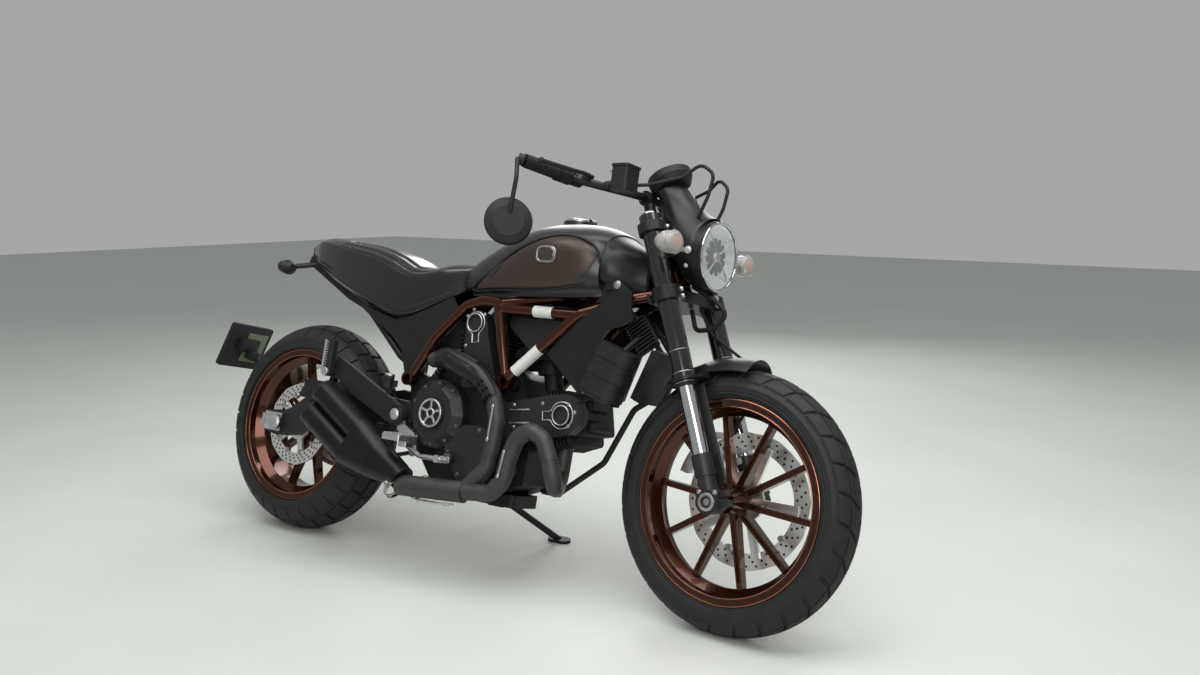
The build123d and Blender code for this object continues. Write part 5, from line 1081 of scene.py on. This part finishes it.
def add_nose_plates():
    """Bolted triangular plates that stand on the front panels beside the tank's nose."""
    plates, bolts = Shape(), Shape()
    for side in (1, -1):
        plates.prism(NOSE_PLATE, side * 104.5, side * 110.5)
        bolts.lathe((1098, side * 110.5, 803), (0, side, 0), [(0, 10.5), (1.6, 10.5), (2.2, 9.5)], 32)
        bolts.bolt((1098, side * 112, 803), (0, side, 0), 5.4)
    piece("nose_plates", plates, "satin_black", "front_panels", bevel=1.2)
    piece("nose_bolts", bolts, "steel", "front_panels")


def add_engine_boot():
    """Rubber boot between the rear header's port and the crankcase."""
    boot = Shape().lathe((612, -66, 580), (0.35, -0.10, -1), BOOT_PROFILE, 32)
    piece("engine_boot", boot, "rubber", "cylinders")


def add_foot_details():
    """Teeth of the pegs and levers, and the passenger's folded pegs."""
    teeth, folded = Shape(), Shape()
    for side in (1, -1):
        for step in range(13):
            y = side * (190 + 5.6 * step)
            teeth.prism(PEG_TOOTH, y, y + 2.6)
        for step in range(7):
            teeth.slab((700.5, side * (176 + 6 * step), 300), (2.4, 2.6, 17))
        folded.slab((213, side * 209, 530), (7, 5, 92))
        for step in range(12):
            folded.slab((219, side * 209, 490 + 7.2 * step), (12, 4, 2.8))
        folded.lathe((226, side * 186, 484), (0, side, 0), [(0, 12), (26, 12), (27, 10.5), (27, 4)], 24)
    piece("peg_teeth", teeth, "bare_alloy", "foot_controls")
    piece("folded_pegs", folded, "bare_alloy", "passenger_hangers", bevel=0.5)


def add_rear_brake_cup():
    """Reservoir of the rear brake with its hose, bracket and cap."""
    lean = (0.1, 0, 1)
    cup = Shape()
    cup.lathe((432, -166, 462), lean, [(0, 11), (2, 13), (26, 13), (26, 14.5), (36, 14.5), (38, 12.5)], 32)
    cup.pipe(curved([(432, -166, 464), (440, -164, 440), (470, -162, 420), (500, -166, 380)]), 3.4, 10)
    cup.slab((446, -160, 478), (34, 3, 18))
    piece("rear_brake_cup", cup, "matt_black", "passenger_hangers")
    cap = Shape().lathe((435.6, -166, 498), lean, [(0, 14.7), (5, 14.7), (6, 13.5), (6, 2)], 32)
    piece("rear_brake_cap", cap, "bare_alloy", "passenger_hangers")


PLATE_CENTRE = Vector((-382, 0, 528))
PLATE_NORMAL = Vector((-0.939, -0.149, 0.31)).normalized()


def add_plate():
    """Blank number plate on its backing, the bracket behind it and its two bolts."""
    up = (Vector((0, 0, 1)) - PLATE_NORMAL * PLATE_NORMAL.z).normalized()
    across = up.cross(PLATE_NORMAL)
    blank = Shape()
    blank.slab(PLATE_CENTRE + PLATE_NORMAL * 9.2, (1.6, 168, 128), PLATE_NORMAL, up)
    blank.slab(PLATE_CENTRE - PLATE_NORMAL * 0.9 - across * 34, (1.6, 92, 100), PLATE_NORMAL, up)
    piece("blank_plate", blank, "olive_plate", "plate_hanger", bevel=0.6)
    bracket = Shape().slab((-374, 24, 503), (30, 34, 30), PLATE_NORMAL, up)
    piece("plate_bracket", bracket, "matt_black", "plate_hanger", bevel=2)
    bolts = Shape()
    for aside in (-52, 52):
        bolts.bolt(PLATE_CENTRE + PLATE_NORMAL * 9.8 + across * aside + up * 48, PLATE_NORMAL, 4.5)
    piece("plate_bolts", bolts, "bare_alloy", "plate_hanger")


CHAIN_PITCH = 15.875
CHAIN_Y = 102
REAR_SPROCKET = Vector((0, REAR_RADIUS))
FRONT_SPROCKET = Vector((566, 385))
PIN_PROFILE = ((0, 2.4), (0.6, 2.6), (17.4, 2.6), (18, 2.4))
REAR_TEETH = 46
FRONT_TEETH = 15


def sprocket_radius(teeth):
    return CHAIN_PITCH / (2 * sin(pi / teeth))


def arc_points(centre, radius, start, sweep, steps):
    turned = (start + sweep * step / steps for step in range(steps + 1))
    return [centre + Vector((cos(turn), sin(turn))) * radius for turn in turned]


def chain_places():
    """Places (x, z) of the chain's pins, a pitch apart, round both sprockets."""
    big, small = sprocket_radius(REAR_TEETH), sprocket_radius(FRONT_TEETH)
    line = FRONT_SPROCKET - REAR_SPROCKET
    slope = atan2(line.y, line.x)
    lean = acos((big - small) / line.length)
    spots = arc_points(REAR_SPROCKET, big, slope + lean, 2 * pi - 2 * lean, 200)
    spots += arc_points(FRONT_SPROCKET, small, slope - lean, 2 * lean, 60)
    spots.append(spots[0])
    lengths = [0.0]
    for a, b in zip(spots, spots[1:]):
        lengths.append(lengths[-1] + (b - a).length)
    count = 2 * round(lengths[-1] / CHAIN_PITCH / 2)
    places = []
    i = 0
    for index in range(count):
        reach = lengths[-1] * index / count
        while lengths[i + 1] < reach:
            i += 1
        places.append(spots[i].lerp(spots[i + 1], (reach - lengths[i]) / (lengths[i + 1] - lengths[i])))
    return places


def link_outline(reach):
    """Outline (along, across) of a link's plate: its pins a reach to each side of its middle, and a waist."""
    outline = []
    for turn in turns(20, pi / 20):
        waist = 1.2 if abs(cos(turn)) < 0.25 else 0
        outline.append((copysign(reach, cos(turn)) + 6.6 * cos(turn), (6.6 - waist) * sin(turn)))
    return outline


def add_chain():
    places = chain_places()
    links, rollers = Shape(), Shape()
    for index, spot in enumerate(places):
        run = places[(index + 1) % len(places)] - spot
        ahead = run.normalized()
        across = ahead.orthogonal()
        outline = [spot + run / 2 + ahead * a + across * b for a, b in link_outline(run.length / 2)]
        inner = 6.4 if index % 2 else 4.4
        for side in (1, -1):
            walls = (CHAIN_Y + side * inner, CHAIN_Y + side * (inner + 1.8))
            links.grid([[(point.x, y, point.y) for point in outline] for y in walls], around=True)
        rollers.lathe((spot.x, CHAIN_Y - 4.2, spot.y), ACROSS, [(0, 5), (8.4, 5)], 14)
        rollers.lathe((spot.x, CHAIN_Y - 9, spot.y), ACROSS, PIN_PROFILE, 10)
    chain = piece("chain_links", links, "steel_dark", "chain")
    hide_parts("chain")
    piece("chain_rollers", rollers, "steel", "chain")


# ---------------------------------------------------------------- instrument and bar
DIAL = Vector((1158, -12, 1091))
DIAL_NORMAL = Vector((-0.5, 0, 0.866)).normalized()
DIAL_UP = DIAL_NORMAL.cross(ACROSS)
DIAL_MARKS = 40


def dial(height):
    return DIAL + DIAL_NORMAL * height


def add_instrument():
    """Face, marks, screen, glass and rim of the round instrument."""
    face = Shape()
    face.lathe(dial(14.2), DIAL_NORMAL, [(0, 50.6), (0.6, 50.6), (0.6, 44), (0.2, 43.5), (0.2, 0.5)], 64)
    piece("dial_face", face, "matt_black", "instrument")
    marks = Shape()
    for step in range(DIAL_MARKS + 1):
        turn = radians(225 - 270 * step / DIAL_MARKS)
        out = -ACROSS * cos(turn) - DIAL_UP * sin(turn)
        length, width = (3.5, 0.9) if step % 5 else (7, 1.5)
        marks.slab(dial(15.2) + out * (42 - length / 2), (length, width, 0.5), out, DIAL_NORMAL)
    piece("dial_marks", marks, "pale_sleeve", "instrument")
    screen = Shape().slab(dial(15.1), (30, 44, 0.6), DIAL_UP, DIAL_NORMAL)
    piece("dial_screen", screen, "screen", "instrument")
    glass = Shape()
    glass.lathe(dial(17.4), DIAL_NORMAL, [(0, 50.7), (0.8, 50.7), (1.4, 40), (1.9, 20), (2.1, 0.5)], 64)
    piece("dial_glass", glass, "glass", "instrument")
    piece("dial_rim", Shape().ring(dial(18.2), DIAL_NORMAL, 54.5, 2.6, 72), "satin_black", "instrument")


def add_bar_details():
    """Ribs round the grips, and the screws of the reservoir's lid."""
    ribs = Shape()
    for side in (1, -1):
        start = axis_point(-108, side * 226, 1188)
        end = axis_point(-132, side * 372, 1208)
        for step in range(22):
            ribs.ring(along(start, end, 0.22 + 0.034 * step), end - start, 16.4, 1.1, 28, 6)
    piece("grip_ribs", ribs, "rubber", "grips")
    screws = Shape()
    for x in (-18, 18):
        for y in (-173, -127):
            screws.bolt(axis_point(x, y, 1181), AXIS_UP, 2.6)
    piece("reservoir_screws", screws, "steel", "hand_controls")


# ---------------------------------------------------------------- making
bpy.context.scene.view_settings.view_transform = "Standard"
add_camera()
add_world()
for light in LIGHTS:
    add_light(*light)
add_floor()
dress_nodes()
for end in TYRES:
    add_tyre(end)
for end in TYRES:
    add_rim_lips(end)
add_seat()
add_tank_panels()
add_disc("front_disc", wheel_centre("front", 66), 165, 40, 1)
add_disc("rear_disc", wheel_centre("rear", -68), 122.5, 34, -1)
add_lamp_lens()
add_lamp_reflector()
add_lamp_fittings()
add_front_signals()
add_fork_bolts()
add_fork_legs()
add_clutch_cover()
add_belt_marks()
add_header_details()
add_header_shield()
add_collector_guard()
add_silencer_details()
add_frame_details()
add_nose_plates()
add_engine_boot()
add_foot_details()
add_rear_brake_cup()
add_plate()
add_chain()
add_instrument()
add_bar_details()
